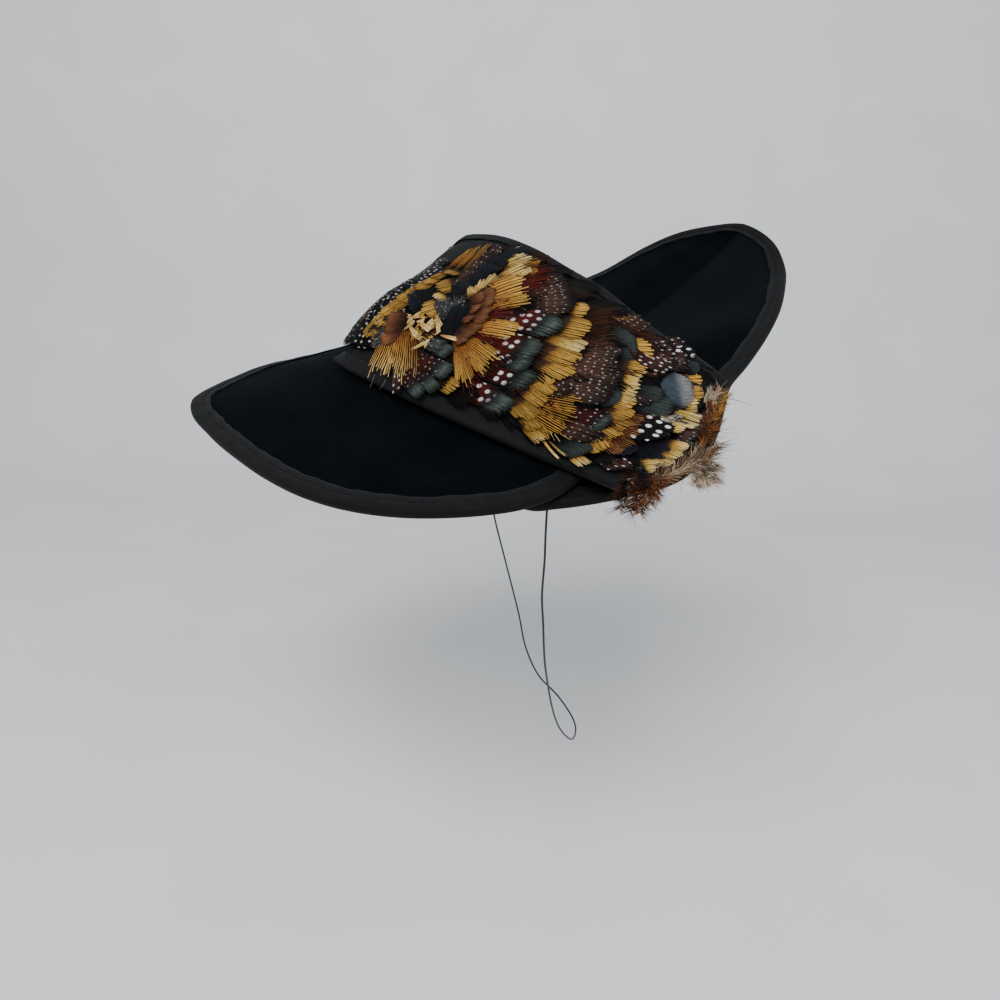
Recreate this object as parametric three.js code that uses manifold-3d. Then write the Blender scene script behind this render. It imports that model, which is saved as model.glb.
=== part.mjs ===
import * as THREE from 'three';
import { mergeVertices } from 'three/addons/utils/BufferGeometryUtils.js';
import Module from 'manifold-3d';

// Sizes in millimetres. +Z is up, X runs along the hat, the origin is the seat inside the crown.
const WALL = 2.4;
const GAP = 0.35;
const CROWN_GAP = 0.8;
const RIBBON_GAP = 0.6;
const FIELD_GAP = 0.8;
const RIBBON = 0.9;
const BINDING_WIDTH = 10;
const BAND_BINDING_WIDTH = 7;
const BAND_WALL = 2.0;
const ELASTIC_DIAMETER = 1.2;

// Plane of the brim, tipped down towards the near side
const BRIM_HEIGHT = -36.2;
const BRIM_SLOPE_X = 0.1136;
const BRIM_SLOPE_Y = 0.343;

// Crown: an oval cap, its long axis across the hat below the feather band
const CROWN_CENTRE = { x: -7.5, y: 9.5 };
const CROWN_HALF_LONG = 70;
const CROWN_HALF_SHORT = 57;
const CROWN_HEIGHT = 31.6;
const CROWN_ROUNDNESS = 2.2;
const CROWN_FULLNESS = 0.62;
const LENGTHWAYS_ANGLE = 137;

// Outer edge of each lobe seen from the crown centre line: angle in degrees, reach and lift in mm
const BACK_LOBE = [
  { angle: 98, reach: 129.5, lift: -4.2, seat: 0 },
  { angle: 108, reach: 131.5, lift: -7.2, seat: 0 },
  { angle: 118, reach: 135.5, lift: -12.2, seat: 0 },
  { angle: 130, reach: 143.5, lift: -17.2, seat: 0 },
  { angle: 143, reach: 153.5, lift: -17.4, seat: 0 },
  { angle: 153, reach: 162.5, lift: -13.7, seat: 0 },
  { angle: 162, reach: 171.5, lift: -8.7, seat: 0 },
  { angle: 168, reach: 176.5, lift: -6.4, seat: 0 },
  { angle: 173, reach: 180.5, lift: -4.1, seat: 0 },
  { angle: 177, reach: 183, lift: -2.2, seat: 0 },
  { angle: 180.5, reach: 182.9, lift: -0.6, seat: 0 },
  { angle: 185.5, reach: 177.4, lift: 0.3, seat: 0 },
  { angle: 193, reach: 165.4, lift: 0.3, seat: 0 },
  { angle: 204, reach: 152.6, lift: 0.6, seat: 0 },
  { angle: 214.5, reach: 144.6, lift: 0.6, seat: 0 },
  { angle: 223.5, reach: 139.8, lift: 0.6, seat: 0 },
  { angle: 239, reach: 132.6, lift: 0.6, seat: 0 },
  { angle: 255, reach: 125, lift: 0.6, seat: 0 },
  { angle: 262, reach: 122, lift: 0.6, seat: 0 },
  { angle: 268, reach: 119.3, lift: 0.6, seat: 0 },
  { angle: 275, reach: 113.5, lift: 0.5, seat: 0 },
  { angle: 281, reach: 105.5, lift: 0.6, seat: 0 },
  { angle: 287, reach: 96.5, lift: 0.6, seat: 0 },
  { angle: 293, reach: 86.5, lift: 0.5, seat: 0 },
];
const FRONT_LOBE = [
  { angle: -96, reach: 95, lift: -6.4, seat: -6.4 },
  { angle: -93, reach: 104.4, lift: -6.4, seat: -6.4 },
  { angle: -89, reach: 109.6, lift: -6.4, seat: -6.4 },
  { angle: -84, reach: 110.8, lift: -6, seat: -6.4 },
  { angle: -76, reach: 113.7, lift: -5, seat: -6.4 },
  { angle: -69, reach: 117.4, lift: -3.6, seat: -6.4 },
  { angle: -64, reach: 121, lift: -2.4, seat: -5.4 },
  { angle: -57, reach: 122.4, lift: -1.2, seat: -4 },
  { angle: -45, reach: 116, lift: 0, seat: -2.4 },
  { angle: -31, reach: 108.5, lift: 0, seat: -0.8 },
  { angle: -18, reach: 107, lift: 0.6, seat: 0 },
  { angle: -8, reach: 116.5, lift: 4, seat: 0 },
  { angle: 0, reach: 128, lift: 9, seat: 0 },
  { angle: 8, reach: 141.6, lift: 14.5, seat: 0 },
  { angle: 15, reach: 153.8, lift: 18, seat: 0 },
  { angle: 22, reach: 167, lift: 20.5, seat: 0 },
  { angle: 29, reach: 175, lift: 27, seat: 0 },
  { angle: 36, reach: 173, lift: 32, seat: 0 },
  { angle: 43, reach: 167, lift: 30, seat: 0 },
  { angle: 50, reach: 158, lift: 26, seat: 0 },
  { angle: 58, reach: 148.5, lift: 17, seat: 0 },
  { angle: 66, reach: 140, lift: 6, seat: 0 },
  { angle: 74, reach: 133.5, lift: -1, seat: -2 },
  { angle: 84, reach: 128.5, lift: -5.5, seat: -4.5 },
  { angle: 94, reach: 125, lift: -8.5, seat: -6.4 },
  { angle: 103, reach: 117, lift: -10.5, seat: -6.4 },
  { angle: 109, reach: 101, lift: -10.5, seat: -6.4 },
];
const LIFT_POWER = 1.6;
const WING_FOLD = { angle: 36, spread: 24, height: 3.6 };
const BACK_LOBE_STATIONS = 42;
const FRONT_LOBE_STATIONS = 44;

// Ribbon of each lobe: the angles it spans, and the line inside the lobe that it leans towards
const BINDING_STATIONS = 46;
const BACK_BINDING = { from: 100, to: 292, spineAngle: 180, spineReach: 152 };
const FRONT_BINDING = { from: -93, to: 100, spineAngle: 30, spineReach: 60 };
const LEAST_FACING = 0.55;

// Stations along an edge: a turn of one radian counts as much as TURN_WEIGHT mm of length
const EDGE_SAMPLES = 600;
const TURN_WEIGHT = 26;

// Feather band over the crown. Along runs from the near foot to the far foot, across from the
// back edge to the front edge; rise_00 to rise_100 are heights over the brim plane across it.
const BAND_ROWS = [
  { along_back: -109, across_back: -65, along_front: -100, across_front: 35.5,
    rise_00: 7, rise_15: 6.8, rise_35: 6.4, rise_60: 6, rise_80: 6, rise_100: 6.2 },
  { along_back: -88, across_back: -65, along_front: -85, across_front: 37,
    rise_00: 6.6, rise_15: 9, rise_35: 11, rise_60: 12, rise_80: 12, rise_100: 11.5 },
  { along_back: -66, across_back: -65, along_front: -66, across_front: 38.5,
    rise_00: 6.2, rise_15: 11.5, rise_35: 16.5, rise_60: 19, rise_80: 18.5, rise_100: 16 },
  { along_back: -45, across_back: -65, along_front: -45, across_front: 39.5,
    rise_00: 6.4, rise_15: 15, rise_35: 22.5, rise_60: 27, rise_80: 26, rise_100: 23.2 },
  { along_back: -20, across_back: -65, along_front: -20, across_front: 40,
    rise_00: 6.6, rise_15: 19, rise_35: 29, rise_60: 35.5, rise_80: 35.5, rise_100: 33.5 },
  { along_back: 5, across_back: -65, along_front: 5, across_front: 40,
    rise_00: 7, rise_15: 21.5, rise_35: 33, rise_60: 40.5, rise_80: 41.5, rise_100: 40.2 },
  { along_back: 30, across_back: -64, along_front: 30, across_front: 40,
    rise_00: 7, rise_15: 22, rise_35: 34.5, rise_60: 43, rise_80: 46.5, rise_100: 47 },
  { along_back: 54, across_back: -62.5, along_front: 55, across_front: 40,
    rise_00: 7, rise_15: 21.5, rise_35: 34, rise_60: 43.5, rise_80: 48.5, rise_100: 50.5 },
  { along_back: 73, across_back: -61, along_front: 76, across_front: 40,
    rise_00: 6.8, rise_15: 20, rise_35: 31.5, rise_60: 41, rise_80: 47, rise_100: 49.6 },
  { along_back: 86, across_back: -59, along_front: 92, across_front: 40.5,
    rise_00: 6.4, rise_15: 16, rise_35: 25, rise_60: 34, rise_80: 41, rise_100: 45.5 },
  { along_back: 93, across_back: -57.5, along_front: 104, across_front: 41,
    rise_00: 5.8, rise_15: 10, rise_35: 15, rise_60: 21.5, rise_80: 28, rise_100: 32 },
  { along_back: 97, across_back: -57, along_front: 113, across_front: 41,
    rise_00: 5, rise_15: 3.6, rise_35: 2.2, rise_60: 1.6, rise_80: 3, rise_100: 5.5 },
];
const BAND_ACROSS = [
  { at: 0, column: 'rise_00' }, { at: 0.15, column: 'rise_15' }, { at: 0.35, column: 'rise_35' },
  { at: 0.6, column: 'rise_60' }, { at: 0.8, column: 'rise_80' }, { at: 1, column: 'rise_100' },
];

// Feather rows: tip is the place of the tips along the band, count the feathers across it
const NEAR_ROWS = [
  { tip: 0.09, count: 7, height: 2.6, bow: 0.012 },
  { tip: 0.155, count: 7, height: 2.8, bow: 0.03 },
  { tip: 0.225, count: 6, height: 3.0, bow: 0.03 },
  { tip: 0.31, count: 7, height: 2.8, bow: 0.035 },
  { tip: 0.395, count: 6, height: 3.2, bow: 0.04 },
  { tip: 0.475, count: 6, height: 3.0, bow: 0.05 },
  { tip: 0.55, count: 5, height: 3.4, bow: 0.055 },
];
const FAR_ROWS = [
  { tip: 0.69, count: 5, height: 3.4, bow: -0.045 },
  { tip: 0.755, count: 6, height: 3.0, bow: -0.04 },
  { tip: 0.82, count: 6, height: 3.0, bow: -0.03 },
  { tip: 0.885, count: 6, height: 2.8, bow: -0.02 },
  { tip: 0.945, count: 7, height: 2.6, bow: -0.01 },
];
const FEATHER_CENTRE = 0.62;
const FEATHER_START = 0.085;
const FEATHER_END = 0.925;
const FEATHER_ROOT = 0.9;
const CENTRE_HEIGHT = 4.2;
const FIELD_NEAR_END = { tip: 0.052, bow: 0.01, count: 7 };
const FIELD_FAR_END = { tip: 0.975, bow: -0.005, count: 7 };
const FIELD_LIMITS = { near: 0.05, far: 0.985 };
const SCALLOP_DEPTH = 0.028;
const SCALLOP_TURN = 40;
const TIP_DROP = 0.006;
const NEAR_SLOPE = 0.045;
const FAR_SLOPE = 0.04;
const SLOPE_SCALLOP = 0.4;
const SLOPE_HEIGHT = 0.75;

// Fringe locks on the near foot: across is the place on the foot, the rest are mm and degrees
const FRINGE_LOCKS = [
  { across: 0.02, length: 22, width: 9, turn: -34, droop: 9 },
  { across: 0.07, length: 24, width: 10, turn: -22, droop: 12 },
  { across: 0.13, length: 22, width: 9, turn: -16, droop: 5 },
  { across: 0.2, length: 19, width: 10, turn: -6, droop: 3 },
  { across: 0.28, length: 22, width: 10, turn: 4, droop: 2 },
  { across: 0.36, length: 27, width: 11, turn: 10, droop: 1 },
  { across: 0.44, length: 29, width: 11, turn: 16, droop: 0 },
  { across: 0.52, length: 28, width: 11, turn: 18, droop: -2 },
  { across: 0.6, length: 24, width: 10, turn: 20, droop: -3 },
  { across: 0.68, length: 19, width: 10, turn: 18, droop: -3 },
  { across: 0.76, length: 15, width: 10, turn: 20, droop: -4 },
  { across: 0.84, length: 12, width: 9, turn: 24, droop: -5 },
  { across: 0.92, length: 10, width: 9, turn: 28, droop: -6 },
];
const FRINGE_THICKNESS = 5;
const LOCK_ROOT = { along: 0.024, behind: 0.06, rise: 4.2, arch: 3.2, archTurn: 0.8 };
const LOCK_PLACES = [0, 0.35, 0.7, 1];
const LOCK_TAPER = { width: 0.72, thickness: 0.7, under: 0.6 };
const LOCK_LIMITS = { low: 0.03, high: 0.97 };

// Strip that the locks are sewn to
const STRIP = { along: 0.02, behind: 0.05, from: 0.05, to: 0.955, stations: 16 };
const STRIP_SECTION = { back: -3, front: 6, thickness: 3 };

// Route of the elastic, from its near end under the brim, below the hat, to its far end
const ELASTIC_ROUTE = [
  [11, -61.5, -63.96], [11.2, -61.2, -79], [11.3, -60, -95.5], [11.2, -60, -109], [11.4, -59, -123],
  [11, -58, -143], [12.3, -57, -158.5], [14.2, -54, -181], [16.6, -48, -196.6],
  [20.9, -38, -219], [26.1, -26, -238.4], [31.9, -14, -252.8], [37.7, -2, -263.4],
  [40.8, 8, -266], [41.6, 18, -266], [39.5, 28, -264.5], [31, 40, -257.5],
  [18, 50, -248], [9, 56, -231], [3, 59, -206], [-7.4, 61, -168.2], [-16, 63, -136],
  [-22, 68, -100], [-27, 73, -58], [-30.6, 75.8, -28], [-31, 76, -15.27],
];

const VELVET = new THREE.Color(0.012, 0.017, 0.03);
const SATIN = new THREE.Color(0.03, 0.03, 0.036);
const GOLD_BROWN = new THREE.Color(0.42, 0.26, 0.1);
const RUST = new THREE.Color(0.36, 0.17, 0.08);
const BLACK = new THREE.Color(0.01, 0.01, 0.012);

const radians = (degrees) => (degrees * Math.PI) / 180;

// Smooth value of a column in a table sorted by its key column
function lookUp(table, key, at, column) {
  const last = table.length - 1;
  let i = 0;
  while (i < last - 1 && at > table[i + 1][key]) i += 1;
  const from = table[i];
  const to = table[i + 1];
  const before = table[Math.max(i - 1, 0)];
  const after = table[Math.min(i + 2, last)];
  const span = to[key] - from[key];
  const t = Math.min(Math.max((at - from[key]) / span, 0), 1);
  const startSlope = before === from ? (to[column] - from[column]) / span
    : (to[column] - before[column]) / (to[key] - before[key]);
  const endSlope = after === to ? (to[column] - from[column]) / span
    : (after[column] - from[column]) / (after[key] - from[key]);
  const t2 = t * t;
  const t3 = t2 * t;
  return (2 * t3 - 3 * t2 + 1) * from[column] + (t3 - 2 * t2 + t) * span * startSlope
    + (3 * t2 - 2 * t3) * to[column] + (t3 - t2) * span * endSlope;
}

const planeHeight = (x, y) => BRIM_HEIGHT + BRIM_SLOPE_X * x + BRIM_SLOPE_Y * y;
const seat = new THREE.Vector3(CROWN_CENTRE.x, CROWN_CENTRE.y,
  planeHeight(CROWN_CENTRE.x, CROWN_CENTRE.y) + CROWN_HEIGHT - WALL);

// A point given over the brim plane, moved so that the seat is the origin
function place(x, y, rise) {
  return new THREE.Vector3(x, y, planeHeight(x, y) + rise).sub(seat);
}

const along = { x: Math.cos(radians(LENGTHWAYS_ANGLE)), y: Math.sin(radians(LENGTHWAYS_ANGLE)) };
const across = { x: along.y, y: -along.x };

// Closed mesh from positions and triangles, turned so that it faces out
function solid(points, triangles) {
  const flat = points.flatMap((p) => [p.x, p.y, p.z]);
  let volume = 0;
  for (const [a, b, c] of triangles) {
    volume += points[a].dot(new THREE.Vector3().crossVectors(points[b], points[c]));
  }
  const order = volume < 0 ? triangles.map(([a, b, c]) => [a, c, b]) : triangles;
  const geometry = new THREE.BufferGeometry();
  geometry.setAttribute('position', new THREE.Float32BufferAttribute(flat, 3));
  geometry.setIndex(order.flat());
  geometry.computeVertexNormals();
  return geometry;
}

// Normals of a grid of points, from its neighbours
function gridNormals(grid) {
  const rows = grid.length;
  const columns = grid[0].length;
  return grid.map((row, i) => row.map((_, j) => {
    const ahead = grid[Math.min(i + 1, rows - 1)][j];
    const behind = grid[Math.max(i - 1, 0)][j];
    const right = row[Math.min(j + 1, columns - 1)];
    const left = row[Math.max(j - 1, 0)];
    const down = new THREE.Vector3().subVectors(ahead, behind);
    const side = new THREE.Vector3().subVectors(right, left);
    const normal = down.cross(side).normalize();
    return normal.z < 0 ? normal.negate() : normal;
  }));
}

// Solid between an upper and a lower grid of the same size, with walls along its open edges
function slab(upper, lower) {
  const rows = upper.length;
  const columns = upper[0].length;
  const points = [...upper.flat(), ...lower.flat()];
  const top = (i, j) => i * columns + j;
  const bottom = (i, j) => rows * columns + i * columns + j;
  const triangles = [];
  for (let i = 0; i < rows - 1; i += 1) {
    for (let j = 0; j < columns - 1; j += 1) {
      triangles.push([top(i, j), top(i + 1, j), top(i + 1, j + 1)]);
      triangles.push([top(i, j), top(i + 1, j + 1), top(i, j + 1)]);
      triangles.push([bottom(i, j), bottom(i + 1, j + 1), bottom(i + 1, j)]);
      triangles.push([bottom(i, j), bottom(i, j + 1), bottom(i + 1, j + 1)]);
    }
  }
  const wall = (a, b) => {
    triangles.push([top(...a), top(...b), bottom(...b)]);
    triangles.push([top(...a), bottom(...b), bottom(...a)]);
  };
  for (let i = 0; i < rows - 1; i += 1) {
    wall([i + 1, 0], [i, 0]);
    wall([i, columns - 1], [i + 1, columns - 1]);
  }
  for (let j = 0; j < columns - 1; j += 1) {
    wall([0, j], [0, j + 1]);
    wall([rows - 1, j + 1], [rows - 1, j]);
  }
  return solid(points, triangles);
}

function offsetGrid(grid, normals, distance) {
  return grid.map((row, i) => row.map((p, j) => p.clone().addScaledVector(normals[i][j], distance)));
}

// Points and side triangles of a tube through a list of rings, with both ends left open
function ringSweep(rings) {
  const size = rings[0].length;
  const points = rings.flat();
  const triangles = [];
  for (let i = 0; i < rings.length - 1; i += 1) {
    for (let j = 0; j < size; j += 1) {
      const next = (j + 1) % size;
      const a = i * size + j;
      const b = i * size + next;
      triangles.push([a, b, b + size], [a, b + size, a + size]);
    }
  }
  return { points, triangles, size, last: (rings.length - 1) * size };
}

// Crown
function ovalPoint(angle, extra, rise, centreScale) {
  const a = (CROWN_HALF_LONG + extra) * Math.cos(angle) * centreScale;
  const b = (CROWN_HALF_SHORT + extra) * Math.sin(angle) * centreScale;
  const x = CROWN_CENTRE.x + a * along.x + b * across.x;
  const y = CROWN_CENTRE.y + a * along.y + b * across.y;
  return { x, y, rise };
}

function crownGeometry() {
  const sides = 28;
  const profile = [0.25, 0.48, 0.68, 0.83, 0.93, 0.98, 1];
  const offset = WALL / 2;
  const points = [];
  const triangles = [];
  const layer = (sign) => {
    const start = points.length;
    const height = CROWN_HEIGHT - offset + sign * offset;
    points.push(place(CROWN_CENTRE.x, CROWN_CENTRE.y, height));
    for (const share of profile) {
      const full = (1 - share ** CROWN_ROUNDNESS) ** CROWN_FULLNESS;
      const rise = share === 1 ? WALL / 2 : Math.max(height * full, WALL / 2);
      for (let j = 0; j < sides; j += 1) {
        const p = ovalPoint((2 * Math.PI * j) / sides, sign * offset, rise, share);
        points.push(place(p.x, p.y, p.rise));
      }
    }
    for (let j = 0; j < sides; j += 1) {
      const p = ovalPoint((2 * Math.PI * j) / sides, sign * offset, -WALL / 2, 1);
      points.push(place(p.x, p.y, p.rise));
    }
    return start;
  };
  const outer = layer(1);
  const inner = layer(-1);
  const at = (start, ring, j) => start + 1 + ring * sides + (j % sides);
  const rings = profile.length;
  for (let j = 0; j < sides; j += 1) {
    triangles.push([outer, at(outer, 0, j), at(outer, 0, j + 1)]);
    triangles.push([inner, at(inner, 0, j + 1), at(inner, 0, j)]);
    for (let ring = 0; ring < rings; ring += 1) {
      const a = at(outer, ring, j);
      const b = at(outer, ring, j + 1);
      triangles.push([a, at(outer, ring + 1, j), at(outer, ring + 1, j + 1)]);
      triangles.push([a, at(outer, ring + 1, j + 1), b]);
      const c = at(inner, ring, j);
      const d = at(inner, ring, j + 1);
      triangles.push([c, at(inner, ring + 1, j + 1), at(inner, ring + 1, j)]);
      triangles.push([c, d, at(inner, ring + 1, j + 1)]);
    }
    const low = at(outer, rings, j);
    const lowNext = at(outer, rings, j + 1);
    triangles.push([low, at(inner, rings, j), at(inner, rings, j + 1)]);
    triangles.push([low, at(inner, rings, j + 1), lowNext]);
  }
  return solid(points, triangles);
}

// Reach of the crown opening along a direction from the origin of the tables
function openingReach(angle) {
  const dx = Math.cos(angle);
  const dy = Math.sin(angle);
  const a = CROWN_HALF_LONG + WALL / 2 + CROWN_GAP;
  const b = CROWN_HALF_SHORT + WALL / 2 + CROWN_GAP;
  const u = (dx * along.x + dy * along.y) / a;
  const v = (dx * across.x + dy * across.y) / b;
  const p = (-CROWN_CENTRE.x * along.x - CROWN_CENTRE.y * along.y) / a;
  const q = (-CROWN_CENTRE.x * across.x - CROWN_CENTRE.y * across.y) / b;
  const m = u * u + v * v;
  const n = u * p + v * q;
  return (-n + Math.sqrt(n * n - m * (p * p + q * q - 1))) / m;
}

// Height of a lobe over the brim plane at a plan point
function lobeRise(table, x, y) {
  let degrees = (Math.atan2(y, x) * 180) / Math.PI;
  const first = table[0].angle;
  const last = table[table.length - 1].angle;
  while (degrees < first - 20) degrees += 360;
  const held = Math.min(Math.max(degrees, first), last);
  const inner = openingReach(radians(degrees));
  const outer = lookUp(table, 'angle', held, 'reach');
  const share = Math.max((Math.hypot(x, y) - inner) / (outer - inner), 0);
  const base = lookUp(table, 'angle', held, 'seat');
  const lift = lookUp(table, 'angle', held, 'lift');
  const fold = Math.max(1 - Math.abs(degrees - WING_FOLD.angle) / WING_FOLD.spread, 0);
  return base + (lift - base) * share ** LIFT_POWER + fold * WING_FOLD.height * share;
}

function lobePoint(table, degrees, share) {
  const angle = radians(degrees);
  const inner = openingReach(angle);
  const reach = inner + (lookUp(table, 'angle', degrees, 'reach') - inner) * share;
  const x = reach * Math.cos(angle);
  const y = reach * Math.sin(angle);
  return place(x, y, lobeRise(table, x, y));
}

// Angles spread evenly by length along the outer edge of a lobe, closer where it turns sharply
function lobeStations(table, count, from, to) {
  const edge = [];
  for (let i = 0; i <= EDGE_SAMPLES; i += 1) {
    const degrees = from + ((to - from) * i) / EDGE_SAMPLES;
    edge.push({ degrees, point: lobePoint(table, degrees, 1) });
  }
  const total = [0];
  for (let i = 1; i <= EDGE_SAMPLES; i += 1) {
    const step = edge[i].point.distanceTo(edge[i - 1].point);
    const before = edge[Math.max(i - 2, 0)].point;
    const after = edge[Math.min(i + 1, EDGE_SAMPLES)].point;
    const one = new THREE.Vector3().subVectors(edge[i - 1].point, before);
    const two = new THREE.Vector3().subVectors(after, edge[i].point);
    const bend = one.lengthSq() && two.lengthSq() ? one.angleTo(two) : 0;
    total.push(total[i - 1] + step + bend * TURN_WEIGHT);
  }
  const angles = [];
  let i = 0;
  for (let k = 0; k <= count; k += 1) {
    const goal = (total[EDGE_SAMPLES] * k) / count;
    while (i < EDGE_SAMPLES && total[i] < goal) i += 1;
    angles.push(edge[i].degrees);
  }
  return angles;
}

function lobeGeometry(table, count) {
  const shares = [0, 0.3, 0.58, 0.82, 0.92, 1];
  const angles = lobeStations(table, count, table[0].angle, table[table.length - 1].angle);
  const grid = angles.map((degrees) => shares.map((share) => lobePoint(table, degrees, share)));
  const normals = gridNormals(grid);
  return slab(offsetGrid(grid, normals, WALL / 2), offsetGrid(grid, normals, -WALL / 2));
}

// Ribbon folded over an edge: each station gives the edge point, an inner point and their normals
function foldedRibbon(stations, wall) {
  const near = wall / 2 + RIBBON_GAP;
  const far = near + RIBBON;
  const rings = stations.map(({ edge, inner, edgeNormal, innerNormal, out }) => {
    const at = (base, normal, rise, push) => base.clone().addScaledVector(normal, rise)
      .addScaledVector(out, push);
    return [
      at(inner, innerNormal, far, 0), at(edge, edgeNormal, far, RIBBON_GAP + RIBBON * 0.5),
      at(edge, edgeNormal, near, RIBBON_GAP + RIBBON), at(edge, edgeNormal, -near, RIBBON_GAP + RIBBON),
      at(edge, edgeNormal, -far, RIBBON_GAP + RIBBON * 0.5), at(inner, innerNormal, -far, 0),
      at(inner, innerNormal, -near, 0), at(edge, edgeNormal, -near, RIBBON_GAP),
      at(edge, edgeNormal, near, RIBBON_GAP), at(inner, innerNormal, near, 0),
    ];
  });
  const { points, triangles, last } = ringSweep(rings);
  const cap = [[0, 1, 2], [0, 2, 8], [2, 3, 7], [2, 7, 8], [3, 4, 5], [3, 5, 7],
    [5, 6, 7], [0, 8, 9]];
  for (const [a, b, c] of cap) {
    triangles.push([a, c, b], [last + a, last + b, last + c]);
  }
  return solid(points, triangles);
}

function surfaceNormal(table, x, y) {
  const step = 1;
  const rise = (u, v) => planeHeight(u, v) + lobeRise(table, u, v);
  const slopeX = (rise(x + step, y) - rise(x - step, y)) / (2 * step);
  const slopeY = (rise(x, y + step) - rise(x, y - step)) / (2 * step);
  return new THREE.Vector3(-slopeX, -slopeY, 1).normalize();
}

// Ribbon round the outer edge of a lobe; the inner points head for a line inside the lobe
function lobeBinding(table, { from, to, spineAngle, spineReach }) {
  const angles = lobeStations(table, BINDING_STATIONS, from, to);
  const spine = { x: Math.cos(radians(spineAngle)), y: Math.sin(radians(spineAngle)) };
  const seatShift = new THREE.Vector3(seat.x, seat.y, 0);
  const edges = angles.map((degrees) => lobePoint(table, degrees, 1).add(seatShift));
  const stations = edges.map((edge, i) => {
    const before = edges[Math.max(i - 1, 0)];
    const after = edges[Math.min(i + 1, edges.length - 1)];
    const run = new THREE.Vector2(after.x - before.x, after.y - before.y).normalize();
    const outward = new THREE.Vector2(run.y, -run.x);
    const level = Math.min(Math.max(edge.x * spine.x + edge.y * spine.y, 0), spineReach);
    const aim = new THREE.Vector2(level * spine.x - edge.x, level * spine.y - edge.y).normalize();
    const facing = Math.max(-(aim.x * outward.x + aim.y * outward.y), LEAST_FACING);
    const x = edge.x + (aim.x * BINDING_WIDTH) / facing;
    const y = edge.y + (aim.y * BINDING_WIDTH) / facing;
    const inner = place(x, y, lobeRise(table, x, y));
    const edgePoint = edge.clone().sub(seatShift);
    const edgeNormal = surfaceNormal(table, edge.x + aim.x, edge.y + aim.y);
    const innerNormal = surfaceNormal(table, x, y);
    const forward = new THREE.Vector3().subVectors(after, before).normalize();
    const out = new THREE.Vector3().crossVectors(forward, edgeNormal).normalize();
    return { edge: edgePoint, inner, edgeNormal, innerNormal, out };
  });
  return foldedRibbon(stations, WALL);
}

// Feather band
function bandRise(v, value) {
  const table = BAND_ACROSS.map(({ at, column }) => ({ at, value: value(column) }));
  return lookUp(table, 'at', v, 'value');
}

const bandTable = BAND_ROWS.map((row, i) => ({ ...row, share: i / (BAND_ROWS.length - 1) }));

function bandPoint(u, v) {
  const value = (column) => lookUp(bandTable, 'share', u, column);
  const s = value('along_back') * (1 - v) + value('along_front') * v;
  const t = value('across_back') * (1 - v) + value('across_front') * v;
  const rise = bandRise(v, value);
  return place(s * along.x + t * across.x, s * along.y + t * across.y, rise);
}

function bandNormal(u, v) {
  const step = 0.004;
  const ahead = bandPoint(Math.min(u + step, 1), v);
  const behind = bandPoint(Math.max(u - step, 0), v);
  const right = bandPoint(u, Math.min(v + step, 1));
  const left = bandPoint(u, Math.max(v - step, 0));
  return ahead.sub(behind).cross(right.sub(left)).normalize().negate();
}

const evenly = (count, from, to) => Array.from({ length: count + 1 },
  (_, i) => from + ((to - from) * i) / count);

// Stations along the band, closer together where it turns down at the far end
const bandStations = [...evenly(12, 0, 0.68), ...evenly(13, 0.705, 1)];

function bandBaseGeometry() {
  const shares = [0, 0.06, 0.2, 0.36, 0.52, 0.68, 0.84, 0.94, 1];
  const grid = bandStations.map((u) => shares.map((v) => bandPoint(u, v)));
  const normals = bandStations.map((u) => shares.map((v) => bandNormal(u, v)));
  return slab(offsetGrid(grid, normals, BAND_WALL / 2), offsetGrid(grid, normals, -BAND_WALL / 2));
}

function bandBinding(edgeShare) {
  const inward = edgeShare === 0 ? 1 : -1;
  const step = 0.02;
  const stations = bandStations.map((u) => {
    const edge = bandPoint(u, edgeShare);
    const nearBy = bandPoint(u, edgeShare + inward * step);
    const perShare = edge.distanceTo(nearBy) / step;
    const innerShare = edgeShare + (inward * BAND_BINDING_WIDTH) / perShare;
    const out = edge.clone().sub(nearBy).normalize();
    return { edge, inner: bandPoint(u, innerShare), edgeNormal: bandNormal(u, edgeShare),
      innerNormal: bandNormal(u, innerShare), out };
  });
  return foldedRibbon(stations, BAND_WALL);
}

// Feather rows laid like tiles: each row rises to its tips and drops to the next one
function featherColumns() {
  const columns = [];
  const add = (row, shift, depth, height) => {
    columns.push({ u: row.tip + shift, bow: row.bow, count: row.count, depth, height });
  };
  add(FIELD_NEAR_END, 0, 0, FEATHER_ROOT);
  for (const row of NEAR_ROWS) {
    add(row, 0, SCALLOP_DEPTH, FEATHER_ROOT);
    add(row, TIP_DROP, SCALLOP_DEPTH, row.height);
    add(row, NEAR_SLOPE, SCALLOP_DEPTH * SLOPE_SCALLOP, row.height * SLOPE_HEIGHT);
  }
  add({ tip: FEATHER_CENTRE, bow: 0, count: 5 }, 0, 0, CENTRE_HEIGHT);
  for (const row of FAR_ROWS) {
    add(row, -FAR_SLOPE, -SCALLOP_DEPTH * SLOPE_SCALLOP, row.height * SLOPE_HEIGHT);
    add(row, -TIP_DROP, -SCALLOP_DEPTH, row.height);
    add(row, 0, -SCALLOP_DEPTH, FEATHER_ROOT);
  }
  add(FIELD_FAR_END, 0, 0, FEATHER_ROOT);
  return columns;
}

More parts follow.
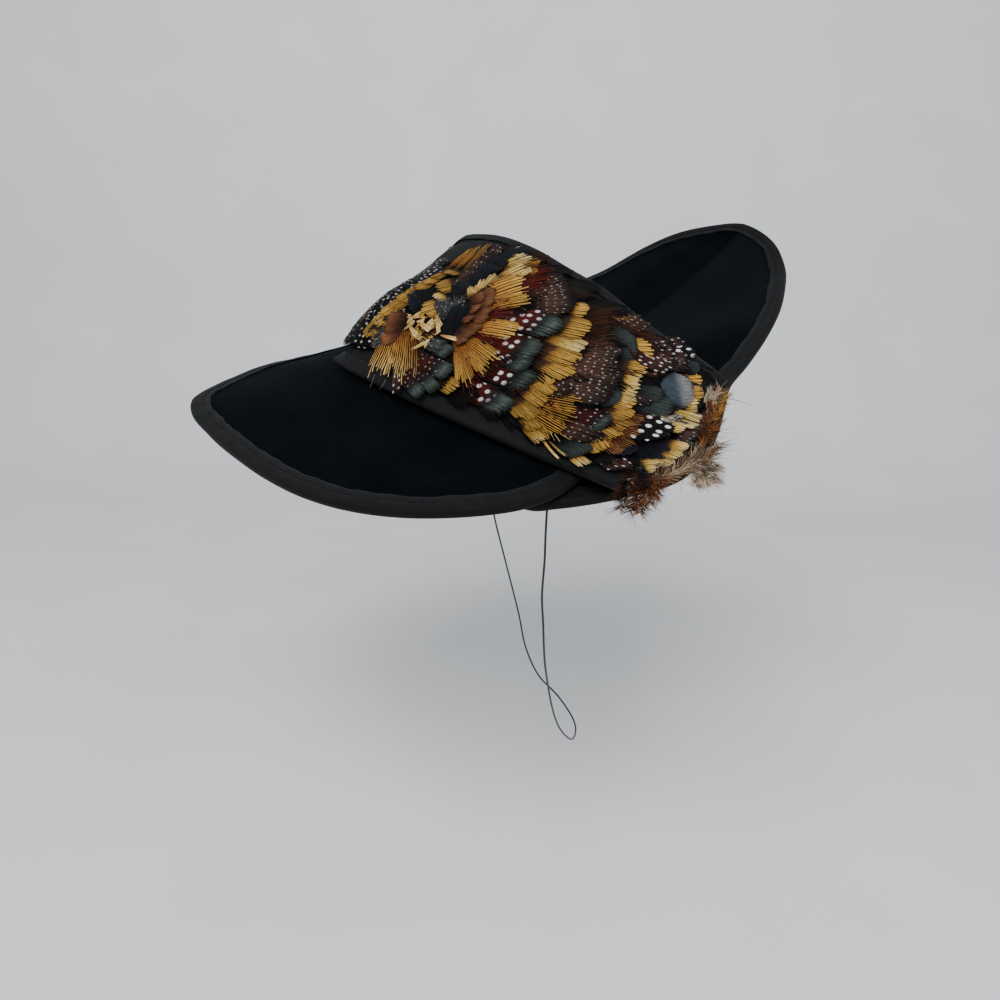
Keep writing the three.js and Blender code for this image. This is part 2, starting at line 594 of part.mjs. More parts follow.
function featherFieldGeometry() {
  const shares = evenly(20, FEATHER_START, FEATHER_END);
  const lower = [];
  const upper = [];
  for (const column of featherColumns()) {
    const low = [];
    const high = [];
    for (const v of shares) {
      const centred = (v - 0.5) * 2;
      const scallop = Math.abs(Math.sin(v * Math.PI * column.count + column.u * SCALLOP_TURN));
      const u = column.u + column.bow * centred * centred - column.depth * scallop;
      const held = Math.min(Math.max(u, FIELD_LIMITS.near), FIELD_LIMITS.far);
      const normal = bandNormal(held, v);
      const base = bandPoint(held, v);
      low.push(base.clone().addScaledVector(normal, BAND_WALL / 2 + FIELD_GAP));
      high.push(base.clone().addScaledVector(normal, BAND_WALL / 2 + FIELD_GAP + column.height));
    }
    lower.push(low);
    upper.push(high);
  }
  return slab(upper, lower);
}

// Fringe: tapered locks fused to a strip across the near foot
function lockRings(lock) {
  const held = Math.min(Math.max(lock.across, LOCK_LIMITS.low), LOCK_LIMITS.high);
  const root = bandPoint(LOCK_ROOT.along, held);
  const normal = bandNormal(LOCK_ROOT.along, lock.across);
  const ahead = bandPoint(0, lock.across).sub(bandPoint(LOCK_ROOT.behind, lock.across)).normalize();
  const side = new THREE.Vector3().crossVectors(normal, ahead).normalize();
  const heading = ahead.applyAxisAngle(normal, radians(lock.turn));
  const wide = side.applyAxisAngle(normal, radians(lock.turn));
  return LOCK_PLACES.map((t) => {
    const rise = LOCK_ROOT.rise + LOCK_ROOT.arch * Math.sin(t * Math.PI * LOCK_ROOT.archTurn);
    const centre = root.clone().addScaledVector(normal, rise)
      .addScaledVector(heading, t * lock.length)
      .add(new THREE.Vector3(0, 0, -lock.droop * t * t));
    const half = (lock.width / 2) * (1 - LOCK_TAPER.width * t * t);
    const thick = (FRINGE_THICKNESS / 2) * (1 - LOCK_TAPER.thickness * t);
    const at = (direction, distance) => centre.clone().addScaledVector(direction, distance);
    return [at(wide, half), at(normal, thick), at(wide, -half), at(normal, -thick * LOCK_TAPER.under)];
  });
}

function cappedSweep(rings) {
  const { points, triangles, size, last } = ringSweep(rings);
  for (let j = 1; j < size - 1; j += 1) {
    triangles.push([0, j + 1, j], [last, last + j, last + j + 1]);
  }
  return solid(points, triangles);
}

function toManifold(library, geometry) {
  const merged = mergeVertices(geometry.clone().deleteAttribute('normal'), 1e-4);
  return new library.Manifold(new library.Mesh({ numProp: 3,
    vertProperties: new Float32Array(merged.attributes.position.array),
    triVerts: new Uint32Array(merged.index.array) }));
}

async function fringeGeometry() {
  const library = await Module();
  library.setup();
  const strip = evenly(STRIP.stations, STRIP.from, STRIP.to).map((v) => {
    const base = bandPoint(STRIP.along, v);
    const ahead = bandPoint(0, v).sub(bandPoint(STRIP.behind, v)).normalize();
    const normal = bandNormal(STRIP.along, v);
    const low = BAND_WALL / 2 + GAP + RIBBON + GAP;
    const high = low + STRIP_SECTION.thickness;
    const at = (push, rise) => base.clone().addScaledVector(ahead, push)
      .addScaledVector(normal, rise);
    return [at(STRIP_SECTION.back, low), at(STRIP_SECTION.front, low),
      at(STRIP_SECTION.front, high), at(STRIP_SECTION.back, high)];
  });
  let body = toManifold(library, cappedSweep(strip));
  for (const lock of FRINGE_LOCKS) {
    body = body.add(toManifold(library, cappedSweep(lockRings(lock))));
  }
  const mesh = body.getMesh();
  const geometry = new THREE.BufferGeometry();
  geometry.setAttribute('position', new THREE.Float32BufferAttribute(mesh.vertProperties, 3));
  geometry.setIndex(Array.from(mesh.triVerts));
  geometry.computeVertexNormals();
  return geometry;
}

// Elastic: a loop of thin cord that hangs from the two sides of the crown
function elasticGeometry() {
  const points = ELASTIC_ROUTE.map(([x, y, z]) => new THREE.Vector3(x, y, z).sub(seat));
  const path = new THREE.CatmullRomCurve3(points, false, 'centripetal');
  const sides = 8;
  const steps = 46;
  const shape = new THREE.Shape();
  for (let i = 0; i < sides; i += 1) {
    const angle = (2 * Math.PI * i) / sides;
    const x = (ELASTIC_DIAMETER / 2) * Math.cos(angle);
    const y = (ELASTIC_DIAMETER / 2) * Math.sin(angle);
    if (i === 0) shape.moveTo(x, y);
    else shape.lineTo(x, y);
  }
  shape.closePath();
  return new THREE.ExtrudeGeometry(shape, { steps, extrudePath: path, bevelEnabled: false });
}

const group = new THREE.Group();
group.name = 'tilt_hat';

function add(name, geometry, color, roughness) {
  const mesh = new THREE.Mesh(geometry, new THREE.MeshStandardMaterial({ color, roughness }));
  mesh.name = name;
  group.add(mesh);
}

add('crown', crownGeometry(), VELVET, 0.95);
add('brim_back', lobeGeometry(BACK_LOBE, BACK_LOBE_STATIONS), VELVET, 0.95);
add('brim_front', lobeGeometry(FRONT_LOBE, FRONT_LOBE_STATIONS), VELVET, 0.95);
add('binding_back', lobeBinding(BACK_LOBE, BACK_BINDING), SATIN, 0.6);
add('binding_front', lobeBinding(FRONT_LOBE, FRONT_BINDING), SATIN, 0.6);
add('band_base', bandBaseGeometry(), SATIN, 0.8);
add('band_binding_back', bandBinding(0), SATIN, 0.6);
add('band_binding_front', bandBinding(1), SATIN, 0.6);
add('feather_field', featherFieldGeometry(), GOLD_BROWN, 0.85);
add('feather_fringe', await fringeGeometry(), RUST, 0.9);
add('chin_elastic', elasticGeometry(), BLACK, 0.7);

export default group;
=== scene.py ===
"""Tilt hat: velvet lobes with a folded ribbon edge, a band of feathers and a thin elastic."""
import math

import bpy
import numpy as np
from mathutils import Matrix, Vector


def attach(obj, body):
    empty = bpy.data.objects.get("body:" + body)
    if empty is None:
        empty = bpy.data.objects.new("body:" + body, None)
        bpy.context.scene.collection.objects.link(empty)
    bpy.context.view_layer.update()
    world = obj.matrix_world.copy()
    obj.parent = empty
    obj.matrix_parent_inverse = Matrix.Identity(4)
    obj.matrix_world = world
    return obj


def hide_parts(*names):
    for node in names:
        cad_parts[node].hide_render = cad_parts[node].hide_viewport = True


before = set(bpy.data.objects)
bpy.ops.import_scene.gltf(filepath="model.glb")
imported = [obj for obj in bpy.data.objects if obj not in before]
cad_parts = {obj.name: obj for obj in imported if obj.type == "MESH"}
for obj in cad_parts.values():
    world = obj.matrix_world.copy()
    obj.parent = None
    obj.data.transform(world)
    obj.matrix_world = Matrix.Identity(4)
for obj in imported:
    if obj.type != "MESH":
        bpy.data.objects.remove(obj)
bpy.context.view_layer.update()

# Sizes in millimetres, in the axes of the solid model
MM = 0.001
WALL = 2.4
RIBBON = 0.9
RIBBON_GAP = 0.6
BACK_RIBBON_WIDTH = 9.4
FRONT_RIBBON_WIDTH = 7.8
BAND_WALL = 2.0
BAND_BINDING_WIDTH = 7
CROWN_GAP = 0.8
ELASTIC_DIAMETER = 1.2

BRIM_HEIGHT = -36.2
BRIM_SLOPE_X = 0.1136
BRIM_SLOPE_Y = 0.343

CROWN_CENTRE = (-7.5, 9.5)
CROWN_HALF_LONG = 70
CROWN_HALF_SHORT = 57
CROWN_HEIGHT = 31.6
CROWN_ROUNDNESS = 2.2
CROWN_FULLNESS = 0.62
LENGTHWAYS = math.radians(137)
ALONG = (math.cos(LENGTHWAYS), math.sin(LENGTHWAYS))
ACROSS = (ALONG[1], -ALONG[0])

# Camera that looks down at the near side of the hat, and its picture size in pixels
CAMERA_PLACE = (-4.5, -424.5, 14.6)
CAMERA_PITCH = math.radians(16)
CAMERA_ROLL = math.radians(1.7)
FOCAL_PIXELS = 751
PICTURE = 1000
SENSOR = 36
FARTHEST_SEEN = 20


def table(columns, *rows):
    """Rows of numbers under named columns."""
    return dict(zip(columns.split(), np.array(rows, float).T))


# Outer edge of each lobe: angle in degrees round the origin of the tables, reach and lift in mm
BACK_LOBE = table(
    "angle reach lift seat",
    (98, 129.5, -4.2, 0), (108, 131.5, -7.2, 0), (118, 135.5, -12.2, 0), (130, 143.5, -17.2, 0),
    (143, 153.5, -17.4, 0), (153, 162.5, -13.7, 0), (162, 171.5, -8.7, 0), (168, 176.5, -6.4, 0),
    (173, 180.5, -4.1, 0), (177, 183, -2.2, 0), (180.5, 182.9, -0.6, 0), (185.5, 177.4, 0.3, 0),
    (193, 165.4, 0.3, 0), (204, 152.6, 0.6, 0), (214.5, 144.6, 0.6, 0), (223.5, 139.8, 0.6, 0),
    (239, 132.6, 0.6, 0), (255, 125, 0.6, 0), (262, 122, 0.6, 0), (268, 119.3, 0.6, 0),
    (275, 113.5, 0.5, 0), (281, 105.5, 0.6, 0), (287, 96.5, 0.6, 0), (293, 86.5, 0.5, 0),
)
FRONT_LOBE = table(
    "angle reach lift seat",
    (-96, 95, -6.4, -6.4), (-93, 104.4, -6.4, -6.4), (-89, 109.6, -6.4, -6.4), (-84, 110.8, -6, -6.4),
    (-76, 113.7, -5, -6.4), (-69, 117.4, -3.6, -6.4), (-64, 121, -2.4, -5.4), (-57, 122.4, -1.2, -4),
    (-45, 116, 0, -2.4), (-31, 108.5, 0, -0.8), (-18, 107, 0.6, 0), (-8, 116.5, 4, 0),
    (0, 128, 9, 0), (8, 141.6, 14.5, 0), (15, 153.8, 18, 0), (22, 167, 20.5, 0), (29, 175, 27, 0),
    (36, 173, 32, 0), (43, 167, 30, 0), (50, 158, 26, 0), (58, 148.5, 17, 0), (66, 140, 6, 0),
    (74, 133.5, -1, -2), (84, 128.5, -5.5, -4.5), (94, 125, -8.5, -6.4), (103, 117, -10.5, -6.4),
    (109, 101, -10.5, -6.4),
)
LIFT_POWER = 1.6
FOLD_ANGLE = 36
FOLD_SPREAD = 24
FOLD_HEIGHT = 3.6
WRAP_MARGIN = 20
TURN_WEIGHT = 26
EDGE_SAMPLES = 1201

# Spine of each lobe, which the inner line of its ribbon turns towards: direction and length
BACK_SPINE = (-1, 0, 152)
FRONT_SPINE = (math.cos(math.radians(30)), math.sin(math.radians(30)), 60)

# Feather band from its near foot to its far foot; the rises are heights over the brim plane
BAND_ROWS = table(
    "along_back across_back along_front across_front rise_00 rise_15 rise_35 rise_60 rise_80 rise_100",
    (-109, -65, -100, 35.5, 7, 6.8, 6.4, 6, 6, 6.2),
    (-88, -65, -85, 37, 6.6, 9, 11, 12, 12, 11.5),
    (-66, -65, -66, 38.5, 6.2, 11.5, 16.5, 19, 18.5, 16),
    (-45, -65, -45, 39.5, 6.4, 15, 22.5, 27, 26, 23.2),
    (-20, -65, -20, 40, 6.6, 19, 29, 35.5, 35.5, 33.5),
    (5, -65, 5, 40, 7, 21.5, 33, 40.5, 41.5, 40.2),
    (30, -64, 30, 40, 7, 22, 34.5, 43, 46.5, 47),
    (54, -62.5, 55, 40, 7, 21.5, 34, 43.5, 48.5, 50.5),
    (73, -61, 76, 40, 6.8, 20, 31.5, 41, 47, 49.6),
    (86, -59, 92, 40.5, 6.4, 16, 25, 34, 41, 45.5),
    (93, -57.5, 104, 41, 5.8, 10, 15, 21.5, 28, 32),
    (97, -57, 113, 41, 5, 3.6, 2.2, 1.6, 3, 5.5),
)
RISE_ACROSS = np.array([0, 0.15, 0.35, 0.6, 0.8, 1])
RISES = ("rise_00", "rise_15", "rise_35", "rise_60", "rise_80", "rise_100")

# Route of the elastic, from its near end under the brim, below the hat, to its far end
ELASTIC_ROUTE = [
    (11, -61.5, -63.96), (11.2, -61.2, -79), (11.3, -60, -95.5), (11.2, -60, -109), (11.4, -59, -123),
    (11, -58, -143), (12.3, -57, -158.5), (14.2, -54, -181), (16.6, -48, -196.6), (20.9, -38, -219),
    (26.1, -26, -238.4), (31.9, -14, -252.8), (37.7, -2, -263.4), (40.8, 8, -266), (41.6, 18, -266),
    (39.5, 28, -264.5), (31, 40, -257.5), (18, 50, -248), (9, 56, -231), (3, 59, -206),
    (-7.4, 61, -168.2), (-16, 63, -136), (-22, 68, -100), (-27, 73, -58), (-30.6, 75.8, -28),
    (-31, 76, -15.27),
]

random = np.random.default_rng(41)


# Smooth tables and surfaces

def smooth_value(keys, values, at):
    """Cubic through a sorted table; values has one column, or a column for each place."""
    last = len(keys) - 1
    steps = keys if values.ndim == 1 else keys[:, None]
    slopes = np.empty(values.shape)
    slopes[1:-1] = (values[2:] - values[:-2]) / (steps[2:] - steps[:-2])
    slopes[0] = (values[1] - values[0]) / (keys[1] - keys[0])
    slopes[-1] = (values[-1] - values[-2]) / (keys[-1] - keys[-2])
    i = np.clip(np.searchsorted(keys, at) - 1, 0, last - 1)
    span = keys[i + 1] - keys[i]
    t = np.clip((at - keys[i]) / span, 0, 1)
    here = (i,) if values.ndim == 1 else (i, np.arange(values.shape[1]))
    there = (i + 1,) if values.ndim == 1 else (i + 1, np.arange(values.shape[1]))
    t2 = t * t
    t3 = t2 * t
    return ((2 * t3 - 3 * t2 + 1) * values[here] + (t3 - 2 * t2 + t) * span * slopes[here]
            + (3 * t2 - 2 * t3) * values[there] + (t3 - t2) * span * slopes[there])


def column(rows, key, at, name):
    """Smooth value of a named column of a table."""
    return smooth_value(rows[key], rows[name], np.asarray(at, float))


def plane_height(x, y):
    """Height of the tilted plane that the brim lies in."""
    return BRIM_HEIGHT + BRIM_SLOPE_X * x + BRIM_SLOPE_Y * y


SEAT = np.array([*CROWN_CENTRE, plane_height(*CROWN_CENTRE) + CROWN_HEIGHT - WALL])


def place(x, y, rise):
    """Points given over the brim plane, moved so that the seat is the origin."""
    return np.stack([x, y, plane_height(x, y) + rise], -1) - SEAT


def unit(vectors):
    """The same directions with a length of one."""
    return vectors / np.maximum(np.linalg.norm(vectors, axis=-1, keepdims=True), 1e-9)


def opening_reach(angle):
    """Reach of the crown opening along a direction from the origin of the tables."""
    dx, dy = np.cos(angle), np.sin(angle)
    a = CROWN_HALF_LONG + WALL / 2 + CROWN_GAP
    b = CROWN_HALF_SHORT + WALL / 2 + CROWN_GAP
    u = (dx * ALONG[0] + dy * ALONG[1]) / a
    v = (dx * ACROSS[0] + dy * ACROSS[1]) / b
    p = -(CROWN_CENTRE[0] * ALONG[0] + CROWN_CENTRE[1] * ALONG[1]) / a
    q = -(CROWN_CENTRE[0] * ACROSS[0] + CROWN_CENTRE[1] * ACROSS[1]) / b
    m = u * u + v * v
    n = u * p + v * q
    return (-n + np.sqrt(n * n - m * (p * p + q * q - 1))) / m


def lobe_rise(lobe, x, y):
    """Height of a lobe over the brim plane at plan points."""
    first, last = lobe["angle"][0], lobe["angle"][-1]
    degrees = np.degrees(np.arctan2(y, x))
    degrees = np.where(degrees < first - WRAP_MARGIN, degrees + 360, degrees)
    held = np.clip(degrees, first, last)
    inner = opening_reach(np.radians(degrees))
    outer = column(lobe, "angle", held, "reach")
    share = np.maximum((np.hypot(x, y) - inner) / (outer - inner), 0)
    base = column(lobe, "angle", held, "seat")
    lift = column(lobe, "angle", held, "lift")
    fold = np.maximum(1 - np.abs(degrees - FOLD_ANGLE) / FOLD_SPREAD, 0)
    return base + (lift - base) * share ** LIFT_POWER + fold * FOLD_HEIGHT * share


def lobe_point(lobe, degrees, share):
    """Point of a lobe's middle surface between the crown opening (0) and its outer edge (1)."""
    angle = np.radians(degrees)
    inner = opening_reach(angle)
    reach = inner + (column(lobe, "angle", degrees, "reach") - inner) * share
    x, y = reach * np.cos(angle), reach * np.sin(angle)
    return place(x, y, lobe_rise(lobe, x, y))


def lobe_normal(lobe, x, y, step=1.0):
    """Upward normal of a lobe, from its slopes over a step in mm."""
    def height(u, v):
        return plane_height(u, v) + lobe_rise(lobe, u, v)
    slope_x = (height(x + step, y) - height(x - step, y)) / (2 * step)
    slope_y = (height(x, y + step) - height(x, y - step)) / (2 * step)
    return unit(np.stack([-slope_x, -slope_y, np.ones_like(slope_x)], -1))


def lobe_stations(lobe, count, start, end):
    """Angles spread evenly along the outer edge, closer where it turns sharply."""
    fine = np.linspace(start, end, EDGE_SAMPLES)
    edge = lobe_point(lobe, fine, 1.0)
    steps = np.diff(edge, axis=0)
    turns = np.arccos(np.clip((unit(steps[1:]) * unit(steps[:-1])).sum(1), -1, 1))
    weight = np.linalg.norm(steps, axis=1) + TURN_WEIGHT * np.append(0, turns)
    total = np.append(0, np.cumsum(weight))
    return np.interp(np.linspace(0, total[-1], count + 1), total, fine)


def band_point(u, v):
    """Middle of the band's wall; u runs from the near foot to the far foot, v from back to front."""
    share = np.linspace(0, 1, len(BAND_ROWS["rise_00"]))
    value = {name: smooth_value(share, rows, u) for name, rows in BAND_ROWS.items()}
    s = value["along_back"] * (1 - v) + value["along_front"] * v
    t = value["across_back"] * (1 - v) + value["across_front"] * v
    rise = smooth_value(RISE_ACROSS, np.stack([value[name] for name in RISES]), v)
    return place(s * ALONG[0] + t * ACROSS[0], s * ALONG[1] + t * ACROSS[1], rise)


class Band:
    """The band's surface on a fine grid, carried on straight past its edges."""
    def __init__(self, count_u=401, count_v=161):
        self.size = np.array([count_u - 1, count_v - 1])
        u, v = np.meshgrid(np.linspace(0, 1, count_u), np.linspace(0, 1, count_v), indexing="ij")
        self.points = band_point(u.ravel(), v.ravel()).reshape(count_u, count_v, 3)
        self.per_u = np.gradient(self.points, axis=0) * self.size[0]
        self.per_v = np.gradient(self.points, axis=1) * self.size[1]
        self.normals = unit(np.cross(self.per_v, self.per_u))

    def read(self, grid, u, v):
        x = np.clip(u, 0, 1) * self.size[0]
        y = np.clip(v, 0, 1) * self.size[1]
        i = np.minimum(x.astype(int), self.size[0] - 1)
        j = np.minimum(y.astype(int), self.size[1] - 1)
        p, q = (x - i)[..., None], (y - j)[..., None]
        return ((grid[i, j] * (1 - q) + grid[i, j + 1] * q) * (1 - p)
                + (grid[i + 1, j] * (1 - q) + grid[i + 1, j + 1] * q) * p)

    def at(self, u, v, height=0.0):
        past_u, past_v = u - np.clip(u, 0, 1), v - np.clip(v, 0, 1)
        points = self.read(self.points, u, v)
        points = points + past_u[..., None] * self.read(self.per_u, u, v)
        points = points + past_v[..., None] * self.read(self.per_v, u, v)
        return points + unit(self.read(self.normals, u, v)) * np.asarray(height)[..., None]


BAND = Band()


# Camera and the elastic

def camera_axes():
    """Directions to the right, upwards and forwards as the camera sees them."""
    forward = np.array([0, math.cos(CAMERA_PITCH), -math.sin(CAMERA_PITCH)])
    level = np.array([1, 0, 0])
    upright = np.array([0, math.sin(CAMERA_PITCH), math.cos(CAMERA_PITCH)])
    right = level * math.cos(CAMERA_ROLL) + upright * math.sin(CAMERA_ROLL)
    up = upright * math.cos(CAMERA_ROLL) - level * math.sin(CAMERA_ROLL)
    return right, up, forward


def add_camera():
    """Camera on the near side of the hat."""
    right, up, forward = camera_axes()
    data = bpy.data.cameras.new("main_camera")
    data.sensor_width = SENSOR
    data.lens = SENSOR * FOCAL_PIXELS / PICTURE
    data.clip_end = FARTHEST_SEEN
    camera = bpy.data.objects.new("main_camera", data)
    turn = Matrix((right, up, -forward)).transposed().to_4x4()
    camera.matrix_world = Matrix.Translation(Vector(CAMERA_PLACE) * MM) @ turn
    bpy.context.scene.collection.objects.link(camera)
    bpy.context.scene.camera = camera


def run_along(points):
    """Distance of each point of a line from its start."""
    return np.append(0, np.cumsum(np.linalg.norm(np.diff(points, axis=0), axis=1)))


def smooth_route(points, per_span):
    """Centripetal curve through the points, with a number of steps between each two of them."""
    points = np.array(points, float)
    before, after = 2 * points[0] - points[1], 2 * points[-1] - points[-2]
    p = np.concatenate([[before], points, [after]])
    route = []
    for k in range(1, len(p) - 2):
        four = p[k - 1:k + 3]
        knots = np.append(0, np.cumsum(np.sqrt(np.linalg.norm(np.diff(four, axis=0), axis=1))))
        low, high = knots[1:3]
        for t in np.linspace(low, high, per_span, endpoint=False):
            level = list(four)
            for width in (1, 2):
                level = [(level[n] * (knots[n + width] - t) + level[n + 1] * (t - knots[n]))
                         / (knots[n + width] - knots[n]) for n in range(len(level) - 1)]
            route.append((level[0] * (high - t) + level[1] * (t - low)) / (high - low))
    route.append(points[-1])
    return np.array(route)


STEPS_PER_SPAN = 6
ROUND_STEPS = 3


def add_elastic(material):
    """Loop of elastic that hangs under the hat."""
    route = (smooth_route(ELASTIC_ROUTE, STEPS_PER_SPAN) - SEAT) * MM
    curve = bpy.data.curves.new("elastic_loop", "CURVE")
    curve.dimensions = "3D"
    curve.bevel_depth = ELASTIC_DIAMETER / 2 * MM
    curve.bevel_resolution = ROUND_STEPS
    curve.use_fill_caps = True
    spline = curve.splines.new("POLY")
    spline.points.add(len(route) - 1)
    spline.points.foreach_set("co", np.append(route, np.ones((len(route), 1)), 1).ravel())
    curve.materials.append(material)
    elastic = bpy.data.objects.new("elastic_loop", curve)
    bpy.context.scene.collection.objects.link(elastic)
    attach(elastic, "root")
    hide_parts("chin_elastic")


# Meshes

def grid_faces(rows, columns, start=0, closed=False):
    """Quads of a grid of points; closed joins its last column to its first."""
    i, j = np.meshgrid(np.arange(rows - 1), np.arange(columns if closed else columns - 1), indexing="ij")
    right = (j + 1) % columns
    return (start + np.stack([i * columns + j, (i + 1) * columns + j, (i + 1) * columns + right,
                              i * columns + right], -1)).reshape(-1, 4)


def sheet_faces(rows, columns, flipped):
    """Faces of a closed sheet: its upper grid, its lower grid and the wall round its edge."""
    half = rows * columns
    upper = grid_faces(rows, columns)
    lower = grid_faces(rows, columns, half)
    border = ([i * columns for i in range(rows)] + list(range((rows - 1) * columns + 1, half))
              + [i * columns + columns - 1 for i in range(rows - 2, -1, -1)]
              + list(range(columns - 2, 0, -1)))
    pairs = zip(border, border[1:] + border[:1])
    if flipped:
        wall = [(b, a, a + half, b + half) for a, b in pairs]
        return np.concatenate([upper[:, ::-1], lower, wall])
    wall = [(a, b, b + half, a + half) for a, b in pairs]
    return np.concatenate([upper, lower[:, ::-1], wall])


def add_mesh(name, points, faces, material, replaces=()):
    """A smooth-shaded piece from points in mm; faces is a list of point numbers for each face."""
    mesh = bpy.data.meshes.new(name)
    places = np.asarray(points).reshape(-1, 3) * MM
    mesh.from_pydata(places.tolist(), [], [list(map(int, face)) for face in faces])
    mesh.polygons.foreach_set("use_smooth", [True] * len(mesh.polygons))
    mesh.materials.append(material)
    piece = bpy.data.objects.new(name, mesh)
    bpy.context.scene.collection.objects.link(piece)
    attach(piece, "root")
    if replaces:
        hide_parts(*replaces)
    return piece


def set_map(piece, values):
    """Surface map in millimetres, one pair for each point."""
    mesh = piece.data
    corners = np.empty(len(mesh.loops), np.int32)
    mesh.loops.foreach_get("vertex_index", corners)
    layer = mesh.uv_layers.new(name="map")
    layer.data.foreach_set("uv", np.asarray(values, np.float32).reshape(-1, 2)[corners].ravel())


def set_tint(piece, colours):
    """Colour of each point; the fourth value says how strongly spots show there."""
    layer = piece.data.color_attributes.new(name="tint", type="FLOAT_COLOR", domain="POINT")
    layer.data.foreach_set("color", np.asarray(colours, np.float32).ravel())


# Materials

class Shader:
    """A node material with short calls for the nodes that this script uses."""
    def __init__(self, name, roughness, sheen=0.0, sheen_tint=(1, 1, 1), sheen_roughness=0.5, specular=0.5):
        self.material = bpy.data.materials.new(name)
        self.material.use_nodes = True
        self.tree = self.material.node_tree
        self.surface = self.tree.nodes["Principled BSDF"]
        self.fill(self.surface, {
            "Roughness": roughness, "Sheen Weight": sheen, "Sheen Tint": (*sheen_tint, 1),
            "Sheen Roughness": sheen_roughness, "Specular IOR Level": specular})

    def fill(self, node, inputs):
        """Links the inputs of a node that come from another node and sets the others."""
        for key, value in inputs.items():
            if isinstance(value, bpy.types.NodeSocket):
                self.tree.links.new(value, node.inputs[key])
            else:
                node.inputs[key].default_value = value
        return node

    def node(self, kind, inputs=None, **settings):
        node = self.tree.nodes.new(kind)
        for key, value in settings.items():
            setattr(node, key, value)
        return self.fill(node, inputs or {})

    def link(self, output, name):
        self.tree.links.new(output, self.surface.inputs[name])

    def noise(self, vector, scale, detail=3.0, roughness=0.5):
        return self.node("ShaderNodeTexNoise", {"Vector": vector, "Scale": scale, "Detail": detail,
                                                "Roughness": roughness}).outputs["Fac"]

    def ramp(self, value, *stops):
        node = self.node("ShaderNodeValToRGB", {"Fac": value})
        while len(node.color_ramp.elements) < len(stops):
            node.color_ramp.elements.new(0.5)
        for element, (at, colour) in zip(node.color_ramp.elements, stops):
            element.position = at
            element.color = (*colour, 1)
        return node.outputs["Color"]

    def math(self, operation, *values):
        return self.node("ShaderNodeMath", dict(enumerate(values)), operation=operation).outputs[0]

    def mix(self, share, first, second, mode="MIX"):
        """Mix of two colours, by the sockets that a colour mix uses."""
        return self.node("ShaderNodeMix", {0: share, 6: first, 7: second}, data_type="RGBA",
                         blend_type=mode).outputs[2]

    def span(self, value, *ends):
        """Value moved from one range to another."""
        names = ("From Min", "From Max", "To Min", "To Max")
        return self.node("ShaderNodeMapRange", {"Value": value, **dict(zip(names, ends))}).outputs[0]

    def scaled(self, vector, *scales):
        return self.node("ShaderNodeMapping", {"Vector": vector, "Scale": scales}).outputs[0]

    def bump(self, height, distance, strength, after=None):
        inputs = {"Height": height, "Distance": distance, "Strength": strength}
        if after is not None:
            inputs["Normal"] = after
        return self.node("ShaderNodeBump", inputs).outputs["Normal"]

    def vector(self, name):
        return self.node("ShaderNodeTexCoord").outputs[name]

    def tint(self):
        return self.node("ShaderNodeVertexColor", layer_name="tint").outputs


def greys(*stops):
    """Colour stops of a ramp from pairs of a place and a brightness."""
    return [(at, (level, level, level)) for at, level in stops]


def velvet_material():
    """Near-black velvet with a cool short pile, patches of nap and a soft sheen; the tint adds painted
    light.
    """
    shader = Shader("velvet", 0.95, sheen=0.035, sheen_tint=(0.5, 0.75, 1.0), sheen_roughness=0.35,
                    specular=0.03)
    place_on = shader.vector("Object")
    nap_patches_and_painted_light = shader.noise(place_on, 38, 4)
    fibres = shader.noise(place_on, 1400, 2, 0.7)
    colour = shader.ramp(nap_patches_and_painted_light, (0.34, (0.0003, 0.0008, 0.0016)), (0.5, (0.0006, 0.0013, 0.0022)),
                         (0.7, (0.0016, 0.0026, 0.0036)))
    fleck = shader.ramp(fibres, *greys((0.42, 0.6), (0.72, 1.5)))
    flecked = shader.mix(1.0, colour, fleck, "MULTIPLY")
    # The tint adds painted light to the lobes
    shader.link(shader.mix(1.0, flecked, shader.tint()["Color"], "ADD"), "Base Color")
    pile = shader.bump(fibres, 0.0004, 0.7)
    shader.link(shader.bump(nap_patches_and_painted_light, 0.0016, 0.3, pile), "Normal")
    return shader.material


RIBBON_TONES = ((0.0017, 0.0019, 0.0022), (0.0034, 0.0036, 0.004))


def ribbon_material(name, light):
    """Charcoal ribbon with fine ribs across its length, paler before its seam; light is painted light that
    scales its tones.
    """
    shader = Shader(name, 0.7, sheen=0.03, sheen_tint=(0.8, 0.82, 0.88), sheen_roughness=0.5, specular=0.1)
    on_map = shader.vector("UV")
    ribs = shader.node("ShaderNodeTexWave", {"Vector": on_map, "Scale": 0.45, "Distortion": 0.6,
                                             "Detail": 2.0, "Detail Scale": 1.2},
                       wave_type="BANDS", bands_direction="X").outputs["Fac"]
    wear = shader.noise(on_map, 0.16, 4)
    lint = shader.noise(on_map, 2.6, 3, 0.65)
    # Painted light: the tones are scaled up for ribbons that the lamps leave darker
    low, high = (tuple(light * c for c in tone) for tone in RIBBON_TONES)
    colour = shader.ramp(wear, (0.3, low), (0.7, high))
    grain = shader.ramp(lint, *greys((0.3, 0.75), (0.75, 1.35)))
    past_seam = shader.node("ShaderNodeSeparateXYZ", {"Vector": on_map}).outputs["Y"]
    strip = shader.span(past_seam, -0.6, 0.6, 1.7, 0.9)
    toned = shader.node("ShaderNodeVectorMath", {0: colour, "Scale": strip}, operation="SCALE").outputs[0]
    shader.link(shader.mix(1.0, toned, grain, "MULTIPLY"), "Base Color")
    fine = shader.bump(lint, 0.0002, 0.5)
    shader.link(shader.bump(ribs, 0.00012, 0.6, fine), "Normal")
    return shader.material


def woven_material(name, grain, detail, stops, relief, strength, **finish):
    """Dark woven or twisted stuff: a fine grain between two tones; relief is its depth in metres."""
    shader = Shader(name, **finish)
    weave = shader.noise(shader.vector("Object"), grain, detail)
    shader.link(shader.ramp(weave, *stops), "Base Color")
    shader.link(shader.bump(weave, relief, strength), "Normal")
    return shader.material


